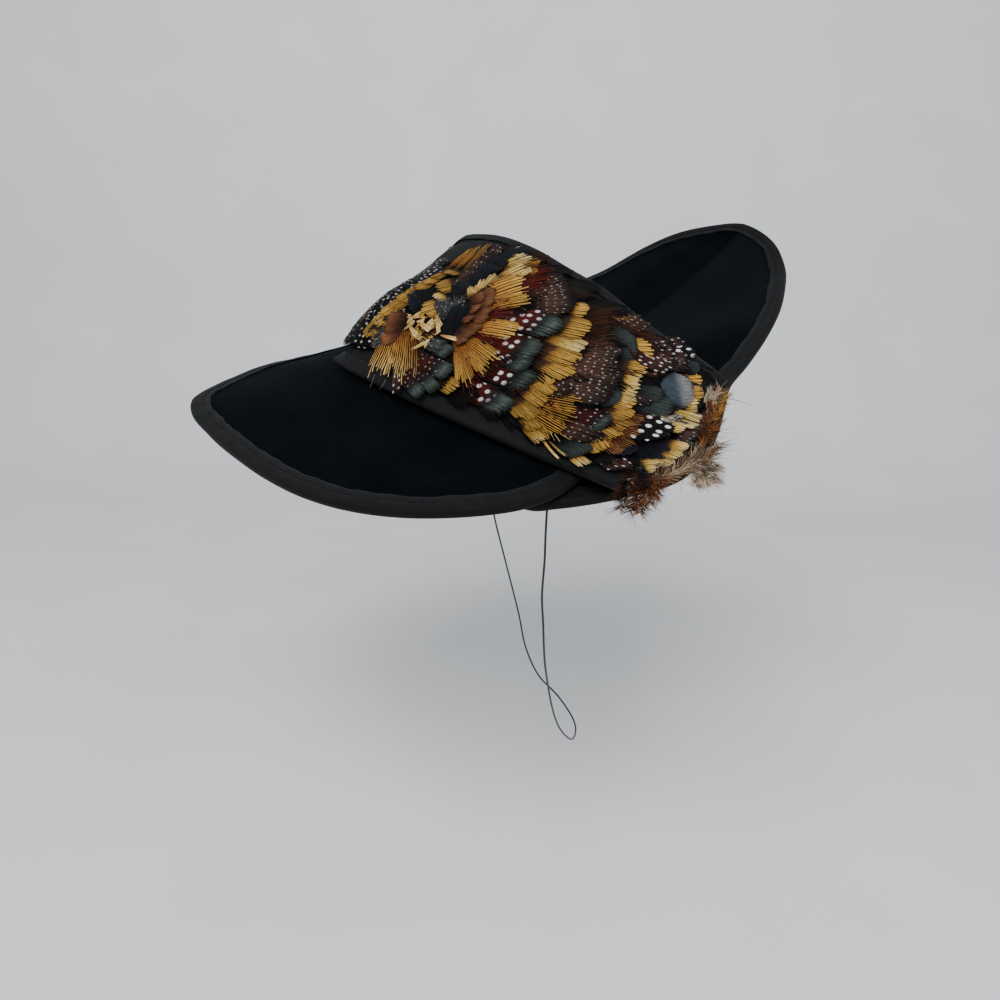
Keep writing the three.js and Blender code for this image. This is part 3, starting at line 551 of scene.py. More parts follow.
def feather_material(name, spot_pitch, spot_radius, stretch=1.25, spot_colour=(0.62, 0.58, 0.52)):
    """Barbed vane: tinted by point, streaked along its barbs, with scattered pale spots."""
    shader = Shader(name, 0.5, sheen=0.004, sheen_tint=(1.0, 0.9, 0.75), sheen_roughness=0.4, specular=0.06)
    on_map = shader.vector("UV")
    tint = shader.tint()
    streaks = shader.noise(shader.scaled(on_map, 3.2, 0.25, 1.0), 1.0, 3, 0.6)
    light = shader.ramp(streaks, (0.3, (0.36, 0.32, 0.28)), (0.7, (1.4, 1.4, 1.4)))
    streaked = shader.mix(1.0, tint["Color"], light, "MULTIPLY")
    spaced = shader.scaled(on_map, 1 / spot_pitch, 1 / spot_pitch / stretch, 1.0)
    cells = shader.node("ShaderNodeTexVoronoi", {"Vector": spaced, "Scale": 1.0, "Randomness": 0.45},
                        voronoi_dimensions="2D").outputs["Distance"]
    rim = spot_radius / spot_pitch
    inside = shader.span(cells, rim * 1.1, rim * 0.65, 0.0, 1.0)
    spots = shader.math("MULTIPLY", inside, tint["Alpha"])
    shader.link(shader.mix(spots, streaked, (*spot_colour, 1.0)), "Base Color")
    shader.link(shader.bump(streaks, 0.0004, 0.7), "Normal")
    return shader.material


VELVET = velvet_material()
# Painted light: the band's ribbons are lighter copies of the brim's ribbon, since they face the lamps less
RIBBON_CLOTH = ribbon_material("ribbon", 1.0)
BACK_RIBBON_PAINTED_LIGHTER = ribbon_material("band_ribbon_back", 1.6)
FRONT_RIBBON_PAINTED_LIGHTER = ribbon_material("band_ribbon_front", 1.1)
PANEL = woven_material("panel", 900, 2, ((0.3, (0.004, 0.0042, 0.0048)), (0.7, (0.009, 0.0092, 0.01))),
                       0.0003, 0.6, roughness=0.9, sheen=0.03, specular=0.05)
THREAD = woven_material("thread", 2200, 1, ((0.35, (0.004, 0.004, 0.0045)), (0.65, (0.012, 0.012, 0.013))),
                        0.0002, 0.6, roughness=0.8, sheen=0.01, specular=0.08)
ELASTIC = woven_material("elastic", 1500, 2, ((0.35, (0.004, 0.004, 0.005)), (0.65, (0.014, 0.014, 0.015))),
                         0.0003, 0.7, roughness=0.55, sheen=0.2, specular=0.35)
FINE_SPOTS = feather_material("feather_fine_spots", 3.1, 0.48, 1.4, (0.24, 0.215, 0.2))
BIG_SPOTS = feather_material("feather_big_spots", 5.1, 1.35, 1.15, (0.7, 0.68, 0.66))
DASHES = feather_material("feather_dashes", 3.6, 0.72, 1.4, (0.42, 0.4, 0.38))
PLAIN_FEATHER = feather_material("feather_plain", 2.0, 0.0001)

add_camera()
add_elastic(ELASTIC)


# Crown

CROWN_SIDES = 120
CROWN_RINGS = 30
CROWN_RING_ANGLES = (0.02, math.pi / 2 - 0.03)

# A narrow flange at the foot of the cap closes the seam below the lobes
SEAM_FLANGE = 5.5
SEAM_FLANGE_DROPS = (0.4, 1.0)


def cap_rings(offset):
    """Share of the radius, rise and distance from the middle of the wall for each ring of a face."""
    shares = np.append(np.sin(np.linspace(*CROWN_RING_ANGLES, CROWN_RINGS)), 1.0)
    height = CROWN_HEIGHT - WALL / 2 + offset
    rises = np.maximum(height * (1 - shares ** CROWN_ROUNDNESS) ** CROWN_FULLNESS, WALL / 2)
    return [(share, rise, offset) for share, rise in zip(shares, rises)] + [(1.0, -WALL / 2, offset)]


def add_crown():
    """Velvet cap with a narrow flange of cloth at its seam."""
    angle = np.linspace(0, 2 * math.pi, CROWN_SIDES, endpoint=False)
    flange = [(1.0, -WALL / 2 - drop, WALL / 2 + SEAM_FLANGE) for drop in SEAM_FLANGE_DROPS]
    rings = cap_rings(WALL / 2) + flange + cap_rings(-WALL / 2)[::-1]
    points = []
    for share, rise, offset in rings:
        a = (CROWN_HALF_LONG + offset) * np.cos(angle) * share
        b = (CROWN_HALF_SHORT + offset) * np.sin(angle) * share
        x = CROWN_CENTRE[0] + a * ALONG[0] + b * ACROSS[0]
        y = CROWN_CENTRE[1] + a * ALONG[1] + b * ACROSS[1]
        points.append(place(x, y, rise))
    count = len(points) * CROWN_SIDES
    faces = grid_faces(len(points), CROWN_SIDES, closed=True).tolist()
    faces.append(range(CROWN_SIDES))
    faces.append(range(count - CROWN_SIDES, count)[::-1])
    piece = add_mesh("crown_cap", points, faces, VELVET, ["crown"])
    set_tint(piece, np.zeros((count, 4)))


# Velvet lobes

LOBE_STATIONS = 300
LOBE_SHARES = 46
RIPPLE = 0.3
ASLANT_RIPPLE = 0.18
RIPPLE_LENGTHS = (13, 17, 8)
RIPPLE_FADE = 6
RIPPLE_BELOW = 0.3
# Painted light on the front lobe before its fold: the colour added, and the degrees over which it fades at
# the fold and grows from the zero angle
PAINTED_FACET_LIGHT = (0.0023, 0.0031, 0.0031)
PAINTED_LIGHT_FADE = 1.5
PAINTED_LIGHT_START = 12


def add_lobe(name, lobe, node, seed):
    """A velvet lobe with shallow ripples; the front one has painted light on its facet before the fold."""
    angles = lobe_stations(lobe, LOBE_STATIONS, lobe["angle"][0], lobe["angle"][-1])
    shares = np.linspace(0, 1, LOBE_SHARES)
    grid = np.stack([lobe_point(lobe, angles, share) for share in shares], 1)
    normals = unit(np.cross(np.gradient(grid, axis=1), np.gradient(grid, axis=0)))
    normals *= np.sign(normals[..., 2:])
    x, y = grid[..., 0], grid[..., 1]
    along_x, along_y, aslant = RIPPLE_LENGTHS
    broad = np.sin(x / along_x + seed) * np.cos(y / along_y - seed)
    ripple = RIPPLE * broad + ASLANT_RIPPLE * np.sin((x + y) / aslant + 2 * seed)
    inside = np.clip((1 - shares) * RIPPLE_FADE, 0, 1) * np.clip(shares * RIPPLE_FADE, 0, 1)
    lift = (ripple * inside)[..., None]
    upper = grid + normals * (WALL / 2 + lift)
    lower = grid - normals * (WALL / 2 - lift * RIPPLE_BELOW)
    rows, columns = len(angles), len(shares)
    faces = sheet_faces(rows, columns, flipped=False)
    piece = add_mesh(name, np.stack([upper, lower]), faces, VELVET, [node])
    # Painted light: the front lobe's facet before its fold is drawn lighter in colour
    before_fold = np.clip((FOLD_ANGLE - angles) / PAINTED_LIGHT_FADE, 0, 1)
    nap_patches_and_painted_light = before_fold * (lobe is FRONT_LOBE) * np.clip(angles / PAINTED_LIGHT_START, 0, 1)
    painted_light_tint = np.append(nap_patches_and_painted_light[:, None] * np.array(PAINTED_FACET_LIGHT), np.ones((rows, 1)), -1)
    set_tint(piece, np.tile(np.repeat(painted_light_tint, columns, 0), (2, 1)))


# Folded ribbon

SEAM_SHARE = 0.42
SEAM_DEPTH = 0.4
NOSE_STEPS = 11
NOSE_OVERLAP = 0.2
RIBBON_START_GAP = 0.1
RIBBON_TOP_SHARE = 0.45

# Share of the ribbon's width and lift in mm before its seam and past it
BEFORE_SEAM = ((0.08, 0), (0.3, 0.05))
PAST_SEAM = ((0.52, 0.12), (0.72, 0.12))


def ribbon_section(width, wall, out, seam):
    """Closed section of a ribbon folded over an edge: distance from its inner line, and height."""
    top = wall / 2 + RIBBON_GAP * RIBBON_TOP_SHARE + RIBBON / 2
    start = wall / 2 + RIBBON_START_GAP + RIBBON / 2
    turn = np.linspace(0, math.pi, NOSE_STEPS)
    nose_reach = out + NOSE_OVERLAP - RIBBON / 2
    nose = np.stack([width - NOSE_OVERLAP + nose_reach * np.sin(turn), top * np.cos(turn)], 1)
    lifts = [*BEFORE_SEAM, (SEAM_SHARE, -SEAM_DEPTH * seam), *PAST_SEAM]
    over = [(0, start)] + [(width * share, top + lift) for share, lift in lifts]
    line = np.array(over + nose.tolist() + [(a, -b) for a, b in over[::-1]])
    ahead = unit(np.gradient(line, axis=0))
    side = np.stack([-ahead[:, 1], ahead[:, 0]], 1) * RIBBON / 2
    return np.concatenate([line + side, (line - side)[::-1]])


# Heights and lengths over two pi in mm of the waves of a ribbon's inner line and of its thickness
WOBBLE = ((0.28, 5.3), (0.22, 2.1))
PUCKER = ((0.1, 3.1), (0.08, 7.7))
FARTHEST_INWARD = -0.1


def waves(run, sizes, *phases):
    """Sum of waves along a run, each with a height, a length and a phase."""
    return sum(height * np.sin(run / length + phase) for (height, length), phase in zip(sizes, phases))


def add_ribbon(name, node, edge, inner, edge_normal, inner_normal, out, wall, seed, width, cloth, seam):
    """A ribbon folded over an edge, with a slightly wavy inner line; seam is 1 for a sewn groove."""
    section = ribbon_section(width, wall, RIBBON_GAP + RIBBON, seam)
    run = run_along(edge)
    wobble = waves(run, WOBBLE, seed, 3 * seed)
    pucker = waves(run, PUCKER, seed, 0)
    points = []
    for a, b in section:
        share = a / width
        held = min(share, 1)
        moved = (share - wobble / width * (1 - held))[:, None]
        onto = np.clip(moved, FARTHEST_INWARD, 1)
        base = inner * (1 - onto) + edge * onto + out * np.maximum(a - width, 0)
        normal = unit(inner_normal * (1 - held) + edge_normal * held)
        points.append(base + normal * (b + np.sign(b) * pucker * (held < 1))[:, None])
    points = np.stack(points, 1)
    columns = len(section)
    faces = grid_faces(len(run), columns, closed=True).tolist()
    for start, turned in ((0, 1), ((len(run) - 1) * columns, -1)):
        for j in range(columns // 2 - 1):
            cap = [start + j, start + j + 1, start + columns - 2 - j, start + columns - 1 - j]
            faces.append(cap[::turned])
    piece = add_mesh(name, points, faces, cloth, [node])
    from_seam = run_along(section) - SEAM_SHARE * width * seam
    set_map(piece, np.stack(np.meshgrid(run, from_seam, indexing="ij"), -1))


STITCH_LENGTH = 2.9
STITCH_PITCH = 4.8
STITCH_RADIUS = 0.2
STITCH_SLANT = 0.12
STITCH_SIDES = 5
AHEAD = 0.5

# Share of a stitch's length, share of its thickness, and lift in mm
STITCH_STATIONS = ((0, 0.35, -0.1), (0.2, 0.9, 0.06), (0.5, 1, 0.12), (0.8, 0.9, 0.06), (1, 0.35, -0.1))


def add_stitches(name, inner, edge, inner_normal, height):
    """Row of short threads along the seam of a ribbon."""
    track = inner + (edge - inner) * SEAM_SHARE
    run = run_along(track)
    angle = np.linspace(0, 2 * math.pi, STITCH_SIDES, endpoint=False)[:, None]

    def read(values, at):
        return np.array([np.interp(at, run, values[:, k]) for k in range(3)])

    points, faces = [], []
    for start in np.arange(STITCH_PITCH, run[-1] - STITCH_PITCH, STITCH_PITCH):
        slant = random.normal(0, STITCH_SLANT)
        base = len(points) * STITCH_SIDES
        for share, size, lift in STITCH_STATIONS:
            at = start + share * STITCH_LENGTH
            centre = read(track, at)
            normal = unit(read(inner_normal, at))
            side = unit(np.cross(normal, read(track, at + AHEAD) - centre))
            centre = centre + normal * (height + lift) + side * slant * (share - 0.5) * 2
            ring = side * np.cos(angle) + normal * np.sin(angle)
            points.append(centre + STITCH_RADIUS * size * ring)
        end = len(points) * STITCH_SIDES
        faces += grid_faces(len(STITCH_STATIONS), STITCH_SIDES, base, closed=True).tolist()
        faces.append(range(base, base + STITCH_SIDES)[::-1])
        faces.append(range(end - STITCH_SIDES, end))
    add_mesh(name, points, faces, THREAD)


BINDING_STATIONS = 420
BACK_BINDING_ENDS = (100, 292)
FRONT_BINDING_ENDS = (-93, 100)
INNER_LINE_ROUNDS = 4
INNER_LINE_LIMITS = (0.4, 1.8)
STITCH_LIFT = 0.05


def add_lobe_binding(name, node, lobe, start, end, spine, width, seed):
    """The ribbon and stitches on a lobe's edge, its inner line the ribbon's width from the edge."""
    angles = lobe_stations(lobe, BINDING_STATIONS, start, end)
    edge = lobe_point(lobe, angles, 1.0)
    flat = edge + [SEAT[0], SEAT[1], 0]
    forward = unit(np.gradient(edge, axis=0))
    level = np.clip(flat[:, 0] * spine[0] + flat[:, 1] * spine[1], 0, spine[2])
    aim = unit(level[:, None] * np.array(spine[:2]) - flat[:, :2])

    def reach_in(steps):
        x, y = (flat[:, :2] + aim * steps[:, None]).T
        return x, y, place(x, y, lobe_rise(lobe, x, y))

    steps = np.full(len(angles), float(width))
    shortest, longest = (width * limit for limit in INNER_LINE_LIMITS)
    for _ in range(INNER_LINE_ROUNDS):
        span = reach_in(steps)[2] - edge
        span = span - forward * (span * forward).sum(1)[:, None]
        steps = np.clip(steps * width / np.linalg.norm(span, axis=1), shortest, longest)
    x, y, inner = reach_in(steps)
    inner_normal = lobe_normal(lobe, x, y)
    edge_normal = lobe_normal(lobe, flat[:, 0] + aim[:, 0], flat[:, 1] + aim[:, 1])
    out = unit(np.cross(forward, edge_normal))
    add_ribbon(name, node, edge, inner, edge_normal, inner_normal, out, WALL, seed, width, RIBBON_CLOTH, 1)
    add_stitches(name + "_stitches", inner, edge, inner_normal, WALL / 2 + RIBBON + STITCH_LIFT)


# Band under the feathers

PANEL_GRID = (180, 60)
BAND_BINDING_STATIONS = 300
INWARD_STEP = 0.02


def add_band_base():
    """Stiff panel that carries the feathers."""
    u, v = np.meshgrid(*(np.linspace(0, 1, count) for count in PANEL_GRID), indexing="ij")
    points = np.stack([BAND.at(u, v, side * BAND_WALL / 2) for side in (1, -1)])
    add_mesh("band_panel", points, sheet_faces(*PANEL_GRID, flipped=True), PANEL, ["band_base"])


def add_band_binding(name, node, edge_share, seed, cloth):
    """The ribbon folded over a long edge of the band, the back one (0) or the front one (1)."""
    inward = 1 if edge_share == 0 else -1
    u = np.linspace(0, 1, BAND_BINDING_STATIONS)
    v = np.full_like(u, edge_share)
    edge = BAND.at(u, v)
    near_by = BAND.at(u, v + inward * INWARD_STEP)
    per_share = np.linalg.norm(near_by - edge, axis=1) / INWARD_STEP
    inner_v = v + inward * BAND_BINDING_WIDTH / per_share
    inner = BAND.at(u, inner_v)
    edge_normal = unit(BAND.read(BAND.normals, u, v))
    inner_normal = unit(BAND.read(BAND.normals, u, inner_v))
    out = unit(edge - near_by)
    add_ribbon(name, node, edge, inner, edge_normal, inner_normal, out, BAND_WALL, seed,
               BAND_BINDING_WIDTH, cloth, 0)


# Feathers

BLACK = (0.0007, 0.0007, 0.001)
SMOKE = (0.0036, 0.003, 0.003)
BROWN = (0.016, 0.0075, 0.0035)
UMBER = (0.05, 0.02, 0.008)
MAROON = (0.028, 0.004, 0.003)
WINE = (0.07, 0.007, 0.005)
CHESTNUT = (0.12, 0.036, 0.01)
TAN = (0.22, 0.085, 0.032)
ORANGE = (0.3, 0.1, 0.018)
OCHRE = (0.3, 0.15, 0.026)
GOLD = (0.44, 0.245, 0.036)
STRAW = (0.56, 0.37, 0.09)
CREAM = (0.68, 0.52, 0.24)
TEAL = (0.06, 0.077, 0.068)
GREEN = (0.011, 0.016, 0.0145)
FAWN = (0.42, 0.32, 0.22)
MIST = (0.66, 0.58, 0.47)
SLATE = (0.03, 0.042, 0.055)
BLUE = (0.14, 0.148, 0.15)
NAVY = (0.0014, 0.0022, 0.0045)
GREY = (0.06, 0.064, 0.066)
TAUPE = (0.22, 0.155, 0.1)
RUST = (0.16, 0.05, 0.018)


def feather_kind(mesh, barbs, part, ragged, rounded, groove, *stops, spots=None, slim=1.0, rise=2.2):
    """Part is how far the barbs open, rounded how round the tip is (1 is a half circle), groove how
    light the painted shade leaves the line between two barbs, slim their share of the room, rise the
    height of the tip in mm; a stop is a share of the vane and a colour."""
    return dict(mesh=mesh, barbs=barbs, part=part, ragged=ragged, rounded=rounded, groove=groove,
                stops=stops, spots=spots, slim=slim, rise=rise)


# Black and near-black stops at the roots, and the dark kind, are partly the feathers' own colour and partly
# painted shade in the gaps under the feathers above
KINDS = {
    "gold": feather_kind("gold", 10, 0.18, 0.07, 0.55, 0.36, (0, BLACK), (0.2, BROWN), (0.34, UMBER),
                         (0.42, OCHRE), (0.6, (0.37, 0.21, 0.04)), (0.9, (0.39, 0.225, 0.045)), (1, GOLD)),
    "pale": feather_kind("gold", 10, 0.26, 0.12, 0.5, 0.42, (0, BLACK), (0.28, SMOKE), (0.38, OCHRE),
                         (0.6, STRAW), (1, CREAM)),
    "ochre": feather_kind("long", 12, 0.45, 0.3, 0.6, 0.6, (0, UMBER), (0.3, (0.24, 0.1, 0.02)),
                          (0.7, OCHRE), (1, GOLD), slim=0.4),
    "strip": feather_kind("long", 9, 0.1, 0.14, 0.5, 0.7, (0, CHESTNUT), (0.2, (0.26, 0.1, 0.02)),
                          (0.45, (0.32, 0.15, 0.03)), (0.7, (0.38, 0.21, 0.036)), (1, (0.44, 0.27, 0.065)),
                          slim=0.74, rise=2.8),
    "thin": feather_kind("long", 9, 0.16, 0.2, 0.5, 0.7, (0, UMBER), (0.3, (0.24, 0.1, 0.02)),
                         (0.7, OCHRE), (1, GOLD), slim=0.42),
    "stripe": feather_kind("long", 8, 0.08, 0.16, 0.5, 0.7, (0, WINE), (0.35, CHESTNUT), (0.6, TAN),
                           (0.85, (0.3, 0.15, 0.04)), (1, UMBER), slim=0.36),
    "cream": feather_kind("gold", 11, 0.12, 0.05, 0.5, 0.45, (0, BLACK), (0.25, UMBER), (0.36, OCHRE),
                          (0.6, STRAW), (1, CREAM)),
    "tan": feather_kind("long", 11, 0.24, 0.2, 0.5, 0.7, (0, CHESTNUT), (0.2, ORANGE), (0.45, OCHRE),
                        (0.7, (0.5, 0.31, 0.09)), (1, (0.58, 0.42, 0.18)), slim=0.5),
    "chip": feather_kind("gold", 2, 0.02, 0.1, 0.1, 0.8, (0, (0.2, 0.1, 0.03)), (0.3, (0.42, 0.27, 0.08)),
                         (1, (0.58, 0.43, 0.2)), rise=0.5),
    "flake": feather_kind("gold", 2, 0.05, 0.2, 0.1, 0.7, (0, UMBER), (0.3, OCHRE), (1, (0.5, 0.31, 0.08)),
                          rise=0.5),
    "stem": feather_kind("gold", 3, 0.03, 0.05, 0.3, 0.45, (0, OCHRE), (0.5, STRAW), (1, CREAM)),
    "white": feather_kind("gold", 9, 0.5, 0.4, 0.6, 0.8, (0, GREY), (0.4, (0.45, 0.42, 0.37)),
                          (1, (0.75, 0.72, 0.66))),
    "hair": feather_kind("long", 16, 0.7, 0.35, 0.6, 0.4, (0, MAROON), (0.4, UMBER),
                         (1, (0.11, 0.045, 0.022)), slim=0.5),
    "dark": feather_kind("plain", 12, 0.3, 0.12, 1, 0.3, (0, BLACK), (0.6, SMOKE), (1, BLACK)),
    "brown": feather_kind("plain", 12, 0.4, 0.2, 1, 0.3, (0, BLACK), (0.6, BROWN), (1, MAROON)),
    "chest": feather_kind("plain", 9, 0.03, 0.02, 1.0, 0.8, (0, BLACK), (0.4, (0.045, 0.015, 0.007)),
                          (0.6, (0.1, 0.036, 0.014)), (0.9, (0.15, 0.062, 0.025)), (1, BROWN)),
    "red": feather_kind("plain", 14, 0.5, 0.3, 0.8, 0.4, (0, MAROON), (0.6, WINE),
                        (1, (0.08, 0.011, 0.006))),
    "teal": feather_kind("plain", 14, 0.03, 0.01, 0.9, 0.8, (0, BLACK), (0.3, GREEN),
                         (0.7, (0.024, 0.032, 0.03)), (0.92, (0.02, 0.027, 0.025)), (1, BLACK)),
    "fineteal": feather_kind("fine", 14, 0.04, 0.01, 0.9, 0.8, (0, MAROON), (0.45, MAROON), (0.6, BLACK),
                             (0.7, GREEN), (0.85, TEAL), (0.93, GREEN), (1, BLACK), spots=(0.0, 0.66)),
    "bigteal": feather_kind("big", 16, 0.1, 0.05, 0.95, 0.55, (0, MAROON), (0.35, WINE), (0.5, MAROON),
                            (0.56, BLACK), (0.66, GREEN), (0.8, TEAL), (0.93, GREEN), (1, BLACK),
                            spots=(0.05, 0.55)),
    "fine": feather_kind("fine", 14, 0.12, 0.05, 0.9, 0.45, (0, BLACK), (0.4, (0.062, 0.027, 0.017)),
                         (0.75, (0.034, 0.02, 0.015)), (1, SMOKE), spots=(0.15, 0.93)),
    "mid": feather_kind("dash", 14, 0.12, 0.06, 0.9, 0.45, (0, MAROON), (0.5, (0.066, 0.028, 0.019)),
                        (0.85, (0.02, 0.012, 0.01)), (1, BLACK), spots=(0.1, 0.95)),
    "dash": feather_kind("dash", 10, 0.12, 0.05, 0.6, 0.35, (0, BLACK), (1, BLACK), spots=(0.05, 1.0),
                         rise=0.8),
    "speck": feather_kind("fine", 12, 0.3, 0.2, 0.9, 0.5, (0, BLACK), (0.4, (0.03, 0.032, 0.034)),
                          (1, GREY), spots=(0.0, 1.0)),
    "bigblack": feather_kind("big", 14, 0.08, 0.03, 0.8, 0.6, (0, MAROON), (0.3, BLACK), (1, SMOKE),
                             spots=(0.05, 0.85)),
    "slate": feather_kind("plain", 14, 0.03, 0.02, 0.9, 0.85, (0, BLACK), (0.35, NAVY),
                          (0.6, (0.018, 0.023, 0.027)), (1, (0.026, 0.034, 0.041))),
    "blue": feather_kind("plain", 18, 0.02, 0.01, 0.75, 0.9, (0, SLATE), (0.3, SLATE), (0.6, BLUE),
                         (0.92, BLUE), (1, SLATE)),
    "navy": feather_kind("plain", 12, 0.05, 0.03, 0.7, 0.7, (0, BLACK), (0.6, NAVY),
                         (1, (0.007, 0.009, 0.015))),
}
KIND_MESHES = {"gold": PLAIN_FEATHER, "dash": DASHES, "long": PLAIN_FEATHER, "plain": PLAIN_FEATHER,
               "fine": FINE_SPOTS, "big": BIG_SPOTS}

# Height of the feathers over the band in mm
FEATHER_BASE = 1.3
LAYER_STEP = 0.1
FAN_STEP = 1.5
RISE_POWER = 1.5
CAMBER = 0.5

# Extra height over the ribbons at the long edges, and over the crest at the far side
EDGE_CLEARANCE = 1.5
CLEAR_FROM = 0.085
CLEAR_RUN = 0.04
SWELL_PLACES = np.array([0, 0.05, 0.1, 0.15, 0.2, 0.25, 0.35, 0.4, 0.45, 0.5, 0.57, 0.7, 0.9, 1.0])
SWELL_LOFTS = np.array([0.6, 2.2, 3.0, 4.0, 5.0, 5.6, 5.6, 4.8, 3.6, 2.4, 0.8, -0.4, -0.6, 0])
SWELL_START = 0.62
SWELL_RUN = 0.17
SWELL_END = 0.1

# Shape of the barbs: the drift and lift are those of a closed vane and what an open one adds
BARB_SEGMENTS = 8
BARB_CROWN = 0.16
BARB_JITTER = 0.22
BARB_OVERLAP = 1.04
BARB_DRIFT = (0.05, 0.5)
BARB_LIFT = (0.1, 0.45)
SPLIT_START = 0.25
MOST_TIP_DEPTH = 0.6
ROOT_OPENING = 0.25
OPEN_AT = 0.62
TIP_FROM = 0.93
TIP_WIDTH = 0.7

# Light and dark of the barbs
FEATHER_SHADES = (0.66, 1.15)
BARB_SHADES = (0.55, 1.3)
MIDDLE_SHADE = 0.95
RIM_DARKENING = 0.72
RIM_POWER = 5
# Painted highlight along each barb's raised middle; its edges take the painted shade set by the kind's
# groove
PAINTED_BARB_HIGHLIGHT = 1.12
SPOT_STRENGTHS = (0.55, 1)
MAP_SPREAD = 60
collected = {name: dict(points=[], faces=[], tint=[], map=[], count=0) for name in KIND_MESHES}


def colour_along(stops, share):
    """Colour at a share of the vane, between the stops of its kind."""
    places = [at for at, _ in stops]
    return np.stack([np.interp(share, places, [colour[k] for _, colour in stops]) for k in range(3)], -1)


def edge_clearance(v):
    """Extra height that carries a vane over the folded ribbons along the band's long edges."""
    from_edge = np.minimum(v, 1 - v)
    return EDGE_CLEARANCE * np.clip((CLEAR_FROM - from_edge) / CLEAR_RUN, 0, 1)


def crest_swell(u, v):
    """Extra loft of the feathers that turn over the crest at the far side."""
    loft = smooth_value(SWELL_PLACES, SWELL_LOFTS, np.clip(v, 0, 1).ravel()).reshape(np.shape(v))
    rising = np.clip((u - SWELL_START) / SWELL_RUN, 0, 1)
    falling = np.clip((1 - u) / SWELL_END, 0, 1)
    return loft * rising ** 2 * (3 - 2 * rising) * falling ** 2 * (3 - 2 * falling)


def add_feather(kind, root, tip, width, layer, length_share=1.3):
    """A vane of barbs that fan out from its root; root and tip are places on the band, the width is
    in mm, and length_share is how much longer the vane is than the part that shows."""
    style = KINDS[kind]
    store = collected[style["mesh"]]
    root, tip = np.array(root, float), np.array(tip, float)
    root = tip + (root - tip) * length_share
    ends = BAND.at(np.array([root[0], tip[0]]), np.array([root[1], tip[1]]))
    length = np.linalg.norm(ends[1] - ends[0])
    middle = (root + tip) / 2
    per_u = BAND.read(BAND.per_u, *middle)
    per_v = BAND.read(BAND.per_v, *middle)
    side = unit(np.cross(unit(BAND.read(BAND.normals, *middle)), ends[1] - ends[0]))
    across, *_ = np.linalg.lstsq(np.stack([per_u, per_v], 1), side, rcond=None)

    count = style["barbs"]
    bounds = np.linspace(-1, 1, count + 1)
    bounds[1:-1] += random.normal(0, BARB_JITTER / count, count - 1)
    barb = (bounds[1:] + bounds[:-1]) / 2
    spread = np.diff(bounds) / 2
    tip_depth = min(style["rounded"] * width / 2 / length, MOST_TIP_DEPTH)
    reach = 1 - tip_depth * (1 - np.sqrt(1 - barb ** 2)) - style["ragged"] * random.random(count)
    t = np.linspace(0, 1, BARB_SEGMENTS + 1)
    s = t[None, :] * reach[:, None]
    opening = ROOT_OPENING + (1 - ROOT_OPENING) * (1 - (1 - np.clip(s / OPEN_AT, 0, 1)) ** 2)
    half_width = width / 2 * opening
    parted = np.clip((s - SPLIT_START) / (1 - SPLIT_START), 0, 1)

    def scatter(closed, opened):
        return random.normal(0, closed + opened * style["part"], count)[:, None] * parted ** 2

    drift = scatter(*BARB_DRIFT)
    centre = barb[:, None] * half_width + drift
    half = spread[:, None] * half_width * (BARB_OVERLAP - style["part"] * parted) * style["slim"]
    half = half * np.where(t > TIP_FROM, TIP_WIDTH, 1)
    lift = scatter(*BARB_LIFT)
    camber = -CAMBER * (centre / max(width / 2, 1)) ** 2
    height = FEATHER_BASE + LAYER_STEP * layer + style["rise"] * s ** RISE_POWER + lift + camber
    sides = np.array([-1, 0, 1])
    w = centre[..., None] + half[..., None] * sides
    s3 = np.repeat(s[..., None], 3, 2)
    u = root[0] + (tip[0] - root[0]) * s3 + across[0] * w
    v = root[1] + (tip[1] - root[1]) * s3 + across[1] * w
    level = height[..., None] + BARB_CROWN * (1 - np.abs(sides)) + edge_clearance(v) + crest_swell(u, v)
    visible = 1 - (1 - s3) * length_share
    tint = colour_along(style["stops"], np.clip(visible, 0, 1))
    groove = style["groove"]
    barb_shade = 1 + (random.uniform(*BARB_SHADES, count) - MIDDLE_SHADE) * (1 - groove)
    rim = 1 - RIM_DARKENING * np.abs(barb) ** RIM_POWER
    feather_shade = random.uniform(*FEATHER_SHADES)
    # Painted shade darkens each barb's edges by the groove, and a painted highlight lights its middle
    across_barb = np.where(sides, groove, PAINTED_BARB_HIGHLIGHT)
    shade = feather_shade * (barb_shade * rim)[:, None, None] * across_barb
    tint = tint * (np.ones_like(s3) * shade)[..., None]
    spotted = np.zeros_like(s3)
    if style["spots"]:
        first, last = style["spots"]
        spotted = ((visible > first) & (visible < last)) * random.uniform(*SPOT_STRENGTHS)
    offset = random.uniform(0, MAP_SPREAD, 2)
    rows = BARB_SEGMENTS + 1
    faces = [grid_faces(rows, 3, store["count"] + k * rows * 3) for k in range(count)]
    store["points"].append(BAND.at(u, v, level).reshape(-1, 3))
    store["faces"].append(np.concatenate(faces))
    store["tint"].append(np.append(tint, spotted[..., None], -1).reshape(-1, 4))
    store["map"].append((np.stack([w, s3 * length], -1) + offset).reshape(-1, 2))
    store["count"] += count * rows * 3


def picture_point(points):
    """Pixels and depths at which the camera sees some points."""
    right, up, forward = camera_axes()
    from_camera = points - np.array(CAMERA_PLACE)
    depth = from_camera @ forward
    aside = FOCAL_PIXELS * np.stack([from_camera @ right, -(from_camera @ up)], -1) / depth[:, None]
    return PICTURE / 2 + aside, depth


def picture_place(x, y):
    """Place on the feathered face of the band that the camera sees at a pixel, and its depth."""
    nearest = np.argmin(np.hypot(*(LOOKUP_PIXELS - [x, y]).T) + PICTURE * LOOKUP_HIDDEN)
    return LOOKUP_PLACES[nearest], LOOKUP_DEPTHS[nearest]


LEAST_SCALE = 0.95


